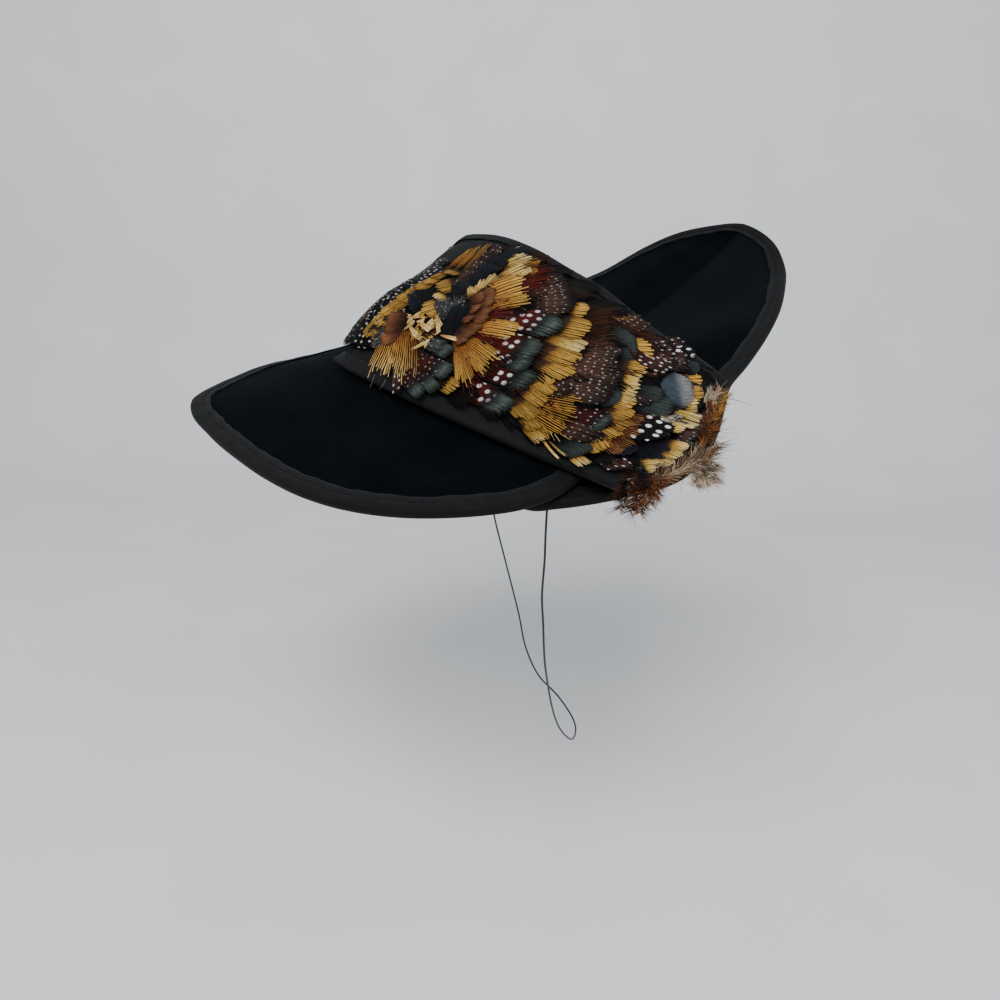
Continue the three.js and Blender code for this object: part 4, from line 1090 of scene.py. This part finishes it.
def pixels_per_mm(root, tip):
    """Pixels that a mm covers at the tip of a feather, across the feather."""
    start, end = BAND.at(*np.array([root, tip]).T)
    side = unit(np.cross(unit(BAND.read(BAND.normals, *np.array(tip))), end - start))
    pixels, _ = picture_point(np.array([end - side / 2, end + side / 2]))
    return max(np.hypot(*(pixels[1] - pixels[0])), LEAST_SCALE)


# Places on and a little past the band, with the pixel, depth and facing of the feathers there
FEATHER_HEIGHT = 3.0
LOOKUP_U = (-0.25, 1, 376)
LOOKUP_V = (-0.12, 1.1, 184)
lookup_u, lookup_v = np.meshgrid(np.linspace(*LOOKUP_U), np.linspace(*LOOKUP_V), indexing="ij")
LOOKUP_PLACES = np.stack([lookup_u.ravel(), lookup_v.ravel()], 1)
lookup_points = BAND.at(*LOOKUP_PLACES.T, FEATHER_HEIGHT + crest_swell(*LOOKUP_PLACES.T))
lookup_normals = BAND.read(BAND.normals, *LOOKUP_PLACES.T)
LOOKUP_PIXELS, LOOKUP_DEPTHS = picture_point(lookup_points)
LOOKUP_HIDDEN = (lookup_normals * (lookup_points - np.array(CAMERA_PLACE))).sum(1) > 0

# Fans of feathers on the near side: the kind, the layer, the number between two lines, their
# width, and the pixels along the line of the roots and along that of the tips; a higher layer
# lies over a lower one
RIGHT_END_FANS = [
    ("fine", 1, 1, 30, (680, 426), (701, 436)),
    ("speck", 1, 4, 13, (688, 408, 680, 434), (706, 422, 694, 448)),
    ("gold", 5, 2, 17, (682, 378, 685, 390), (702, 381, 703, 394)),
    ("pale", 4, 1, 18, (676, 402), (699, 404)),
    ("stem", 7, 4, 4, (670, 406, 676, 414, 672, 420), (702, 420, 700, 426, 694, 430)),
    ("cream", 12, 3, 14, (666, 441, 654, 456), (688, 452, 673, 468)),
    ("pale", 3, 2, 9, (636, 458, 638, 466), (660, 464, 657, 471)),
    ("mid", 2, 2, 20, (660, 346, 664, 358), (684, 344, 688, 358)),
    ("bigblack", 6, 1, 24, (668, 353), (694, 356)),
    ("mid", 3, 3, 18, (640, 344, 644, 358), (676, 348, 680, 362)),
    ("slate", 12, 1, 17, (682, 367), (698, 368)), ("white", 20, 1, 8, (664, 424), (678, 419)),
    ("cream", 18, 1, 12, (664, 424), (685, 432)), ("mid", 3, 1, 13, (640, 366), (668, 372)),
    ("blue", 18, 1, 38, (669, 389), (692, 393)), ("mid", 21, 1, 18, (640, 356), (671, 376)),
    ("teal", 8, 1, 22, (634, 398), (674, 411)), ("teal", 9, 1, 18, (636, 390), (664, 397)),
    ("speck", 4, 1, 15, (652, 414), (690, 423)), ("bigblack", 14, 1, 38, (638, 420), (669, 438)),
    ("navy", 2, 1, 26, (633, 444), (670, 455)),
    ("stripe", 15, 4, 17, (618, 418, 610, 430, 604, 440), (645, 426, 638, 446, 622, 458)),
    ("mid", 4, 1, 27, (604, 452), (627, 474)),
]
SECOND_GOLDEN_FANS = [
    ("hair", 8, 2, 14, (624, 326, 630, 334), (652, 330, 664, 342)),
    ("gold", 9, 1, 32, (624, 350), (654, 355)), ("gold", 7, 1, 18, (618, 362), (647, 371)),
    ("pale", 6, 5, 12, (616, 374, 610, 390), (642, 382, 635, 404)),
    ("gold", 6, 5, 19, (608, 396, 602, 412, 592, 426), (634, 408, 630, 430, 607, 451)),
    ("gold", 6, 1, 17, (580, 434), (602, 455)), ("pale", 6, 1, 14, (570, 452), (587, 470)),
]
BETWEEN_GOLDEN_FANS = [
    ("hair", 10, 6, 14, (582, 318, 584, 330, 582, 344), (622, 312, 618, 330, 616, 350)),
    ("teal", 8, 1, 35, (614, 341), (637, 344)),
    ("fine", 7, 5, 26, (566, 352, 558, 366, 550, 380), (618, 362, 624, 382, 612, 400)),
    ("slate", 8, 1, 22, (594, 392), (621, 400)), ("fineteal", 8, 1, 26, (578, 412), (609, 426)),
    ("teal", 9, 1, 22, (586, 418), (610, 427)), ("fine", 7, 1, 22, (556, 420), (600, 440)),
    ("teal", 7, 1, 26, (560, 444), (589, 456)),
]
FIRST_GOLDEN_FANS = [
    ("gold", 8, 1, 16, (566, 306), (589, 312)), ("gold", 12, 1, 25, (554, 322), (591, 334)),
    ("cream", 9, 1, 23, (542, 334), (583, 352)), ("gold", 13, 1, 20, (536, 346), (580, 364)),
    ("gold", 10, 1, 22, (534, 354), (572, 378)), ("gold", 7, 1, 14, (528, 366), (553, 386)),
    ("gold", 12, 1, 17, (522, 374), (554, 396)), ("gold", 9, 1, 17, (516, 384), (546, 408)),
    ("gold", 12, 1, 19, (510, 394), (537, 421)), ("stem", 12, 1, 2.4, (541, 438), (561, 465)),
    ("stem", 11, 1, 2, (551, 444), (567, 461)), ("gold", 11, 1, 17, (516, 408), (538, 434)),
    ("gold", 10, 1, 12, (506, 398), (522, 420)),
    ("thin", 10, 4, 22, (534, 396, 522, 412), (582, 408, 576, 428, 548, 446)),
    ("pale", 9, 1, 14, (524, 424), (546, 446)),
]
BIG_FANS = [
    ("fine", 11, 4, 22, (526, 290, 534, 304), (566, 280, 574, 306)),
    ("red", 12, 4, 14, (500, 286, 506, 292), (558, 268, 556, 284)),
    ("bigteal", 15, 1, 29, (508, 314), (561, 334)), ("bigteal", 12, 1, 28, (488, 340), (543, 355)),
    ("bigteal", 9, 1, 22, (484, 350), (532, 369)), ("bigteal", 6, 1, 26, (482, 366), (536, 385)),
    ("bigteal", 3, 1, 26, (458, 382), (514, 410)),
    ("red", 14, 7, 18, (474, 312, 468, 328, 460, 340), (520, 300, 508, 350, 474, 398)),
    ("strip", 16, 1, 26, (480, 298), (528, 286)), ("strip", 15, 1, 15, (476, 308), (534, 301)),
    ("strip", 16, 1, 22, (470, 325), (524, 337)), ("strip", 16, 1, 20, (464, 336), (499, 365)),
    ("strip", 15, 1, 13, (460, 342), (488, 377)), ("strip", 16, 1, 13, (457, 346), (473, 389)),
    ("strip", 15, 1, 9, (456, 348), (462, 387)),
    ("chest", 18, 7, 13, (474, 300, 466, 316, 456, 330), (498, 293, 494, 314, 482, 332, 466, 346)),
    ("chest", 22, 3, 11, (468, 304, 460, 318), (486, 298, 482, 312, 474, 324)),
    ("navy", 20, 1, 20, (446, 338), (465, 306)),
    ("speck", 19, 3, 14, (446, 322, 452, 322), (440, 300, 462, 298)),
]
LEFT_CLUSTER_FANS = [
    ("bigteal", 12, 1, 16, (416, 336), (455, 356)), ("fineteal", 14, 1, 19, (410, 356), (453, 375)),
    ("fineteal", 13, 2, 15, (400, 360, 396, 368), (441, 393, 426, 399)),
    ("speck", 15, 1, 16, (424, 340), (446, 350)), ("mid", 13, 1, 11, (398, 362), (400, 396)),
    ("gold", 13, 1, 20, (440, 378), (459, 392)),
    ("tan", 15, 3, 25, (394, 326, 406, 332), (378, 382, 408, 388)),
    ("hair", 14, 3, 14, (404, 334, 414, 340), (400, 380, 424, 380)),
    ("chest", 17, 3, 14, (408, 318, 404, 330), (388, 320, 382, 344)),
]
CREST_FANS = [
    ("gold", 9, 1, 13, (458, 268), (446, 276)), ("gold", 10, 1, 16, (460, 280), (437, 290)),
    ("pale", 10, 1, 12, (448, 292), (434, 301)), ("gold", 11, 1, 17, (444, 302), (423, 314)),
    ("gold", 8, 9, 10, (450, 268, 434, 278, 418, 289, 402, 300, 386, 313),
     (432, 281, 416, 290, 399, 303, 383, 317, 366, 338)),
    ("speck", 9, 3, 11, (402, 316, 394, 326), (384, 336, 372, 352)),
    ("navy", 9, 3, 13, (440, 288, 434, 300), (408, 298, 410, 308)),
    ("pale", 12, 3, 10, (480, 292, 470, 304), (496, 276, 473, 287)),
    ("pale", 12, 2, 17, (488, 272, 494, 284), (530, 258, 528, 269)),
    ("thin", 11, 2, 10, (512, 272, 516, 276), (541, 262, 540, 273)),
    ("navy", 10, 6, 22, (444, 300, 474, 282, 500, 268), (470, 284, 498, 262, 521, 250)),
    ("fine", 12, 5, 12, (450, 292, 464, 278, 480, 264), (466, 278, 484, 260, 503, 246)),
    ("white", 13, 1, 5, (511, 252), (520, 249)),
    ("ochre", 12, 3, 7, (450, 266, 464, 270), (474, 250, 492, 245)),
]
NEAR_FANS = (RIGHT_END_FANS + SECOND_GOLDEN_FANS + BETWEEN_GOLDEN_FANS + FIRST_GOLDEN_FANS + BIG_FANS
             + LEFT_CLUSTER_FANS + CREST_FANS)


def along_line(pixels, share):
    """Point of a broken line, given as one pixel after another, at a share of its corners."""
    points = np.reshape(pixels, (-1, 2))
    at = share * (len(points) - 1)
    return [np.interp(at, np.arange(len(points)), points[:, k]) for k in (0, 1)]


def lay_near_fans():
    """Feathers that spread from a line of roots to a line of tips in the picture."""
    for kind, layer, count, width, roots, tips in NEAR_FANS:
        for k in range(count):
            share = 0.5 if count == 1 else k / (count - 1)
            root, _ = picture_place(*along_line(roots, share))
            tip, _ = picture_place(*along_line(tips, share))
            add_feather(kind, root, tip, width / pixels_per_mm(root, tip), layer + FAN_STEP * (k % 2))


# Rows with their tips towards the near foot, from the lowest up: kinds in turn, number across,
# length of a feather in mm, and the place along the band at its edges and at its middle
NEARWARD_ROWS = [
    ("dark navy", 9, 24, 0.02, 0.02), ("dark fine dark", 9, 24, 0.09, 0.07),
    ("dark brown", 9, 24, 0.16, 0.13), ("dark brown fine", 9, 24, 0.23, 0.19),
    ("dark brown", 9, 24, 0.29, 0.25), ("dark brown", 9, 26, 0.36, 0.32),
    ("dark brown", 9, 26, 0.43, 0.39), ("brown hair", 9, 26, 0.49, 0.45),
    ("dark brown", 8, 24, 0.55, 0.5),
]

# Rows with their tips towards the far foot: kinds in turn, layer, number across, width and length
# of a feather in mm, and corners of the line of the tips as places across and along the band
FARWARD_ROWS = [
    ("dark fine slate", 0, 10, 14, 22, (0.08, 0.98, 1, 0.98)),
    ("gold pale", 1, 10, 14, 22, (0.08, 0.95, 0.5, 0.96, 1, 0.95)),
    ("bigblack fineteal", 2, 10, 14, 22, (0.08, 0.92, 0.5, 0.93, 0.95, 0.92)),
    ("dark fine", 3, 10, 14, 22, (0.08, 0.9, 0.5, 0.9, 0.95, 0.89)),
    ("dash", 4, 9, 14, 24, (0.08, 0.875, 0.5, 0.865, 0.72, 0.85)),
    ("dash", 5, 8, 13, 22, (0.08, 0.84, 0.5, 0.83, 0.62, 0.8)),
    ("dash", 6, 8, 13, 20, (0.08, 0.8, 0.4, 0.785, 0.56, 0.76)),
    ("dash", 7, 7, 13, 18, (0.08, 0.76, 0.4, 0.75, 0.5, 0.73)),
    ("fine", 6, 3, 12, 16, (0.12, 0.735, 0.25, 0.7)),
]
NEARWARD_WIDTH = 14
ROW_SCATTER = 0.08
ROW_EDGES = (0.06, 0.92)
ROW_FEET = (-0.01, 0.99)
ROW_UNEVEN = 0.003
ROW_FAN = 40
ROW_TURN = 5
ROW_STEP = 0.5


def add_turned_feather(kind, u, v, length, width, layer, degrees, length_share=1.1):
    """A feather with its tip at a place on the band, its root back by a length at an angle to +u."""
    per_u = np.linalg.norm(BAND.read(BAND.per_u, np.float64(u), np.float64(v)))
    per_v = np.linalg.norm(BAND.read(BAND.per_v, np.float64(u), np.float64(v)))
    turn = math.radians(degrees)
    root = (u - length * math.cos(turn) / per_u, v - length * math.sin(turn) / per_v)
    add_feather(kind, root, (u, v), width, layer, length_share)


def lay_row(kinds, layer, count, width, length, corners, farward):
    """Feathers side by side across the band, with their tips on a broken line."""
    across, along = np.reshape(corners, (-1, 2)).T
    kinds = kinds.split()
    for k in range(count):
        share = (k + 0.5 + random.normal(0, ROW_SCATTER)) / count
        v = float(np.clip(across[0] + (across[-1] - across[0]) * share, *ROW_EDGES))
        u = float(np.clip(np.interp(v, across, along) + random.normal(0, ROW_UNEVEN), *ROW_FEET))
        fan = (v - 0.5) * ROW_FAN + random.normal(0, ROW_TURN)
        degrees = fan if farward else 180 - fan
        step = layer + ROW_STEP * (k % 2)
        add_turned_feather(kinds[k % len(kinds)], u, v, length, width, step, degrees)


def lay_rows():
    """Rows of feathers over the whole band."""
    for layer, (kinds, count, length, edge, middle) in enumerate(NEARWARD_ROWS):
        corners = (0, edge, 0.5, middle, 1, edge)
        lay_row(kinds, layer, count, NEARWARD_WIDTH, length, corners, farward=False)
    for row in FARWARD_ROWS:
        lay_row(*row, farward=True)


# Stumps of quill: corners of the area in the picture where they are scattered, ranges of their
# length and width in mm, and the pixels of the root and tip and the width of the larger ones
CHIP_COUNT = 44
CHIP_AREA = ((402, 312), (438, 340))
CHIP_LAYER = 25
CHIP_DEPTHS = (0, 10)
CHIP_LENGTHS = (2.4, 6.5)
CHIP_WIDTHS = (1.4, 3.2)
STICKS = [(411, 351, 432, 341, 5), (441, 337, 467, 343, 5), (437, 318, 440, 336, 4), (404, 332, 416, 322, 5),
          (420, 324, 432, 332, 6), (410, 326, 418, 338, 5), (436, 316, 443, 328, 4)]


def lay_chips():
    """Pale stumps of quill that show where the feathers meet."""
    for root_x, root_y, tip_x, tip_y, width in STICKS:
        root, depth = picture_place(root_x, root_y)
        tip, _ = picture_place(tip_x, tip_y)
        add_feather("chip", root, tip, width * depth / FOCAL_PIXELS, CHIP_LAYER, 1.0)
    low, high = np.array(CHIP_AREA)
    for k in range(CHIP_COUNT):
        kind = "flake" if k % 3 else "chip"
        (u, v), _ = picture_place(*random.uniform(low, high))
        length = random.uniform(*CHIP_LENGTHS)
        width = random.uniform(*CHIP_WIDTHS)
        layer = CHIP_LAYER - random.uniform(*CHIP_DEPTHS)
        add_turned_feather(kind, u, v, length, width, layer, random.uniform(0, 360), 1.0)


def add_feathers():
    """All feathers, as one mesh for each pattern."""
    lay_rows()
    lay_near_fans()
    lay_chips()
    for k, (name, store) in enumerate(collected.items()):
        points = np.concatenate(store["points"])
        faces = np.concatenate(store["faces"])
        stands_for = [] if k else ["feather_field"]
        piece = add_mesh("feathers_" + name, points, faces, KIND_MESHES[name], stands_for)
        set_tint(piece, np.concatenate(store["tint"]))
        set_map(piece, np.concatenate(store["map"]))


# Fringe: downy feathers and loose hairs over the near foot

# Pixels of the root and tip of each downy feather, its width in pixels, its height over the band
# in mm, how many strands it has and its two colours
DOWN_FEATHERS = [
    (700, 438, 714, 402, 12, 4, 110, UMBER, RUST), (706, 434, 716, 404, 10, 5, 90, RUST, TAN),
    (710, 424, 731, 392, 9, 5, 70, TAN, STRAW), (713, 420, 728, 402, 7, 4, 50, ORANGE, GOLD),
    (706, 414, 722, 388, 11, 6, 80, FAWN, TAN), (704, 402, 714, 392, 12, 6, 70, FAWN, MIST),
    (708, 440, 722, 420, 8, 4, 60, RUST, TAN), (704, 446, 711, 426, 11, 5, 90, RUST, BROWN),
    (660, 480, 716, 447, 18, 5, 240, TAUPE, UMBER), (664, 474, 722, 442, 18, 6, 190, UMBER, FAWN),
    (656, 480, 700, 460, 15, 7, 240, FAWN, TAUPE), (648, 484, 706, 464, 15, 5, 200, RUST, TAUPE),
    (684, 466, 722, 446, 12, 5, 110, BROWN, FAWN), (676, 474, 718, 452, 14, 6, 130, BROWN, TAN),
    (694, 460, 696, 486, 12, 5, 220, FAWN, MIST), (698, 456, 712, 484, 14, 5, 260, TAUPE, MIST),
    (704, 452, 718, 470, 12, 5, 200, MIST, FAWN), (708, 468, 694, 487, 9, 5, 150, MIST, FAWN),
    (662, 476, 656, 500, 12, 4, 160, TAN, UMBER), (700, 456, 705, 485, 12, 5, 280, MIST, FAWN),
    (644, 470, 630, 515, 14, 5, 330, UMBER, CHESTNUT), (636, 468, 618, 512, 13, 5, 300, BROWN, RUST),
    (648, 474, 640, 516, 12, 4, 300, UMBER, TAN), (632, 466, 621, 500, 12, 5, 120, SMOKE, BROWN),
    (654, 476, 650, 507, 12, 5, 240, TAN, RUST), (642, 464, 643, 488, 11, 7, 110, NAVY, SLATE),
    (654, 468, 666, 463, 7, 6, 40, TAUPE, FAWN), (660, 416, 674, 420, 12, 6, 60, TAUPE, FAWN),
    (700, 450, 714, 430, 12, 4, 90, CHESTNUT, ORANGE), (712, 412, 728, 396, 7, 6, 50, RUST, STRAW),
    (690, 466, 702, 488, 10, 6, 160, FAWN, MIST), (706, 462, 718, 482, 10, 6, 170, MIST, TAUPE),
    (634, 474, 622, 509, 8, 6, 70, BROWN, MIST), (700, 462, 706, 478, 4, 8, 60, BLACK, SMOKE),
]

# Pixels of the root and tip of each loose hair, and its colour
HAIRS = [
    (704, 439, 735, 430, BLACK), (706, 441, 726, 438, BLACK), (705, 436, 730, 434, SMOKE),
    (706, 444, 722, 444, BLACK), (684, 478, 679, 496, BLACK), (685, 479, 673, 490, BLACK),
    (715, 470, 720, 468, BLACK), (714, 392, 727, 374, SMOKE), (712, 390, 716, 382, SMOKE),
    (716, 396, 724, 384, TAUPE), (706, 446, 726, 442, UMBER), (704, 450, 724, 448, BROWN),
    (729, 403, 752, 408, SMOKE), (552, 436, 562, 462, CREAM), (556, 438, 574, 463, CREAM),
    (548, 434, 556, 456, STRAW), (560, 436, 578, 452, STRAW), (544, 440, 552, 462, STRAW),
    (614, 324, 637, 319, OCHRE), (612, 322, 634, 326, OCHRE), (450, 388, 454, 404, STRAW),
    (388, 382, 382, 396, TAUPE), (378, 376, 372, 388, TAUPE), (396, 384, 394, 396, TAUPE),
    (516, 262, 540, 266, STRAW), (512, 268, 536, 270, STRAW), (350, 346, 345, 360, SMOKE),
    (694, 360, 716, 376, GREY), (700, 372, 712, 380, GREY),
]
DOWN_ROOT_HEIGHT = 3.2
STRAND_SEGMENTS = 7
STRAND_SHARE = 1.5
STRAND_WIDTHS = (0.12, 0.42)
STRAND_SHADES = (0.6, 1.4)
STRAND_TAPER = 0.75
STRAND_SIZES = (0.35, 0.75)
STRAND_BOW = 0.28
STRAND_TURN = 5
BLEND_SCATTER = 0.2
STRAND_RISE = (0.4, 0.9)
STRAND_LOFT = (0.2, 1)
STRAND_EASE = 0.35
STRAND_LIGHT = (0.55, 0.6)
SHAFT_PACKING = 0.8
SHAFT_BOW = 0.5
PAST_SHAFT_END = 2
STRAND_PAST_TIP = 1.15
LEAST_SPREAD = 0.45
SHAFT_SHARE = 0.92
SHAFT_WIDTH = 0.5
CLUMPS = 20
CLUMP_ANGLES = (12, 55)
CLUMP_SHADES = (0.25, 1.75)
HAIR_HEIGHT = 5.5
HAIR_WIDTH = 0.3
HAIR_BOW = 0.22


class Strands:
    """Flat tapering strands gathered for one mesh."""
    def __init__(self):
        self.points = []
        self.tint = []
        self.t = np.linspace(0, 1, STRAND_SEGMENTS + 1)[:, None]

    def add(self, start, reach, bow, flat, thick, colour):
        """A strand from its start along its reach, bent aside by its bow; flat is its broad side."""
        t = self.t
        centre = start + reach * t + bow * (t * (1 - STRAND_EASE * t)) * t
        half = thick / 2 * (1 - STRAND_TAPER * t)
        self.points.append(np.stack([centre - flat * half, centre + flat * half], 1))
        at_root, gain = STRAND_LIGHT
        tint = np.append(np.array(colour) * (at_root + gain * t), np.zeros_like(t), 1)
        self.tint.append(np.repeat(tint, 2, axis=0))

    def add_down(self, feather, right, up):
        """A downy feather: a shaft with strands on both sides, in clumps of one angle and shade."""
        root_x, root_y, tip_x, tip_y, width, height, count, first, second = feather
        root, depth = picture_place(root_x, root_y)
        tip, _ = picture_place(tip_x, tip_y)
        start, end = BAND.at(*np.array([root, tip]).T, np.array([DOWN_ROOT_HEIGHT, height]))
        pixels, depths = picture_point(end[None])
        missing = (np.array([tip_x, tip_y]) - pixels[0]) * depths[0] / FOCAL_PIXELS
        end = end + right * missing[0] - up * missing[1]
        normal = unit(BAND.read(BAND.normals, *np.array(root)))
        ahead = end - start
        length = np.linalg.norm(ahead)
        side = unit(np.cross(normal, ahead))
        breadth = width * depth / FOCAL_PIXELS
        first, second = np.array(first), np.array(second)
        clump_angles = random.uniform(*CLUMP_ANGLES, CLUMPS)
        clump_blends = random.uniform(0, 1, CLUMPS)
        clump_shades = random.uniform(*CLUMP_SHADES, CLUMPS)
        for _ in range(int(count * STRAND_SHARE)):
            along_shaft = random.random() ** SHAFT_PACKING * SHAFT_SHARE
            sign = 1 if random.random() < 0.5 else -1
            clump = int(along_shaft * CLUMPS / 2) * 2 + (sign > 0)
            angle = math.radians(clump_angles[clump] + random.normal(0, STRAND_TURN))
            size = breadth * random.uniform(*STRAND_SIZES) / max(math.sin(angle), LEAST_SPREAD)
            size = min(size, length * (STRAND_PAST_TIP - along_shaft) + PAST_SHAFT_END)
            reach = size * (unit(ahead) * math.cos(angle) + side * sign * math.sin(angle))
            reach = reach + normal * random.normal(*STRAND_RISE)
            bow = (side * random.normal(0, 1) + normal * random.normal(*STRAND_LOFT)) * size * STRAND_BOW
            twist = random.uniform(0, math.pi)
            flat = side * math.cos(twist) + normal * math.sin(twist)
            blend = np.clip(clump_blends[clump] + random.normal(0, BLEND_SCATTER), 0, 1)
            shade = clump_shades[clump] * random.uniform(*STRAND_SHADES)
            colour = (first * (1 - blend) + second * blend) * shade
            thick = random.uniform(*STRAND_WIDTHS)
            self.add(start + ahead * along_shaft, reach, bow, flat, thick, colour)
        self.add(start, ahead, normal * SHAFT_BOW, side, SHAFT_WIDTH, first)

    def add_hair(self, hair, right, up):
        """A loose hair that lies in the plane of the picture."""
        root_x, root_y, tip_x, tip_y, colour = hair
        root, depth = picture_place(root_x, root_y)
        start = BAND.at(*np.array(root)[:, None], np.array([HAIR_HEIGHT]))[0]
        reach = (right * (tip_x - root_x) - up * (tip_y - root_y)) * depth / FOCAL_PIXELS
        bow = (right * random.normal() + up * random.normal()) * np.linalg.norm(reach) * HAIR_BOW
        self.add(start, reach, bow, unit(np.cross(reach, (0, 1, 0))), HAIR_WIDTH, colour)


def add_fringe():
    """Down and loose hairs at the near foot."""
    strands = Strands()
    right, up, _ = camera_axes()
    for feather in DOWN_FEATHERS:
        strands.add_down(feather, right, up)
    for hair in HAIRS:
        strands.add_hair(hair, right, up)
    rows, count = STRAND_SEGMENTS + 1, len(strands.points)
    faces = np.concatenate([grid_faces(rows, 2, k * rows * 2) for k in range(count)])
    piece = add_mesh("fringe_strands", strands.points, faces, PLAIN_FEATHER, ["feather_fringe"])
    set_tint(piece, np.concatenate(strands.tint))
    set_map(piece, np.tile([[0.0, 0.0], [HAIR_WIDTH, 0.0]], (rows * count, 1)))


# Studio

FLOOR_HEIGHT = -290
FLOOR_REACH = 2400
BACK_PLACE = 900
BACK_HEIGHT = 2200
BEND_RADIUS = 300
BEND_STEPS = 13
FLOOR_TONES = ((0.3, (0.66, 0.67, 0.68)), (0.7, (0.7, 0.71, 0.72)))
FLOOR_MOTTLE = 9
SKY_COLOUR = (0.86, 0.9, 0.95)
SKY_STRENGTH = 0.55


def add_stage():
    """Pale floor that bends up into a back wall."""
    turn = np.linspace(0, math.pi / 2, BEND_STEPS)
    line = [(-FLOOR_REACH, FLOOR_HEIGHT)]
    line += [(BACK_PLACE - BEND_RADIUS * (1 - math.sin(a)), FLOOR_HEIGHT + BEND_RADIUS * (1 - math.cos(a)))
             for a in turn]
    line += [(BACK_PLACE, BACK_HEIGHT)]
    points = [(x * MM, y * MM, z * MM) for x in (-FLOOR_REACH, FLOOR_REACH) for y, z in line]
    count = len(line)
    mesh = bpy.data.meshes.new("floor")
    mesh.from_pydata(points, [], [(i, i + 1, count + i + 1, count + i) for i in range(count - 1)])
    mesh.polygons.foreach_set("use_smooth", [True] * len(mesh.polygons))
    shader = Shader("floor", 0.6, specular=0.3)
    paint = shader.noise(shader.vector("Object"), FLOOR_MOTTLE)
    shader.link(shader.ramp(paint, *FLOOR_TONES), "Base Color")
    mesh.materials.append(shader.material)
    floor = bpy.data.objects.new("floor", mesh)
    bpy.context.scene.collection.objects.link(floor)


def add_light(name, place_mm, size, power, colour=(1, 1, 1)):
    """A soft lamp that points at the seat."""
    data = bpy.data.lights.new(name, "AREA")
    data.size = size
    data.energy = power
    data.color = colour
    light = bpy.data.objects.new(name, data)
    light.location = Vector(place_mm) * MM
    light.rotation_euler = (-light.location).to_track_quat("-Z", "Y").to_euler()
    bpy.context.scene.collection.objects.link(light)


def add_lights():
    """Pale surroundings and two soft lamps."""
    world = bpy.data.worlds.new("studio")
    world.use_nodes = True
    sky = world.node_tree.nodes["Background"].inputs
    sky["Color"].default_value = (*SKY_COLOUR, 1)
    sky["Strength"].default_value = SKY_STRENGTH
    bpy.context.scene.world = world
    add_light("key_light", (-350, -1000, 1150), 1.0, 30)
    add_light("fill_light", (800, -1000, 500), 1.4, 12, (0.95, 0.97, 1))


add_crown()
add_lobe("velvet_back", BACK_LOBE, "brim_back", 0.4)
add_lobe("velvet_front", FRONT_LOBE, "brim_front", 1.9)
add_lobe_binding("ribbon_back", "binding_back", BACK_LOBE, *BACK_BINDING_ENDS, BACK_SPINE,
                 BACK_RIBBON_WIDTH, 0.7)
add_lobe_binding("ribbon_front", "binding_front", FRONT_LOBE, *FRONT_BINDING_ENDS, FRONT_SPINE,
                 FRONT_RIBBON_WIDTH, 2.3)
add_band_base()
add_band_binding("band_ribbon_back", "band_binding_back", 0, 1.1, BACK_RIBBON_PAINTED_LIGHTER)
add_band_binding("band_ribbon_front", "band_binding_front", 1, 3.7, FRONT_RIBBON_PAINTED_LIGHTER)
add_feathers()
add_fringe()
add_stage()
add_lights()

bpy.context.view_layer.update()
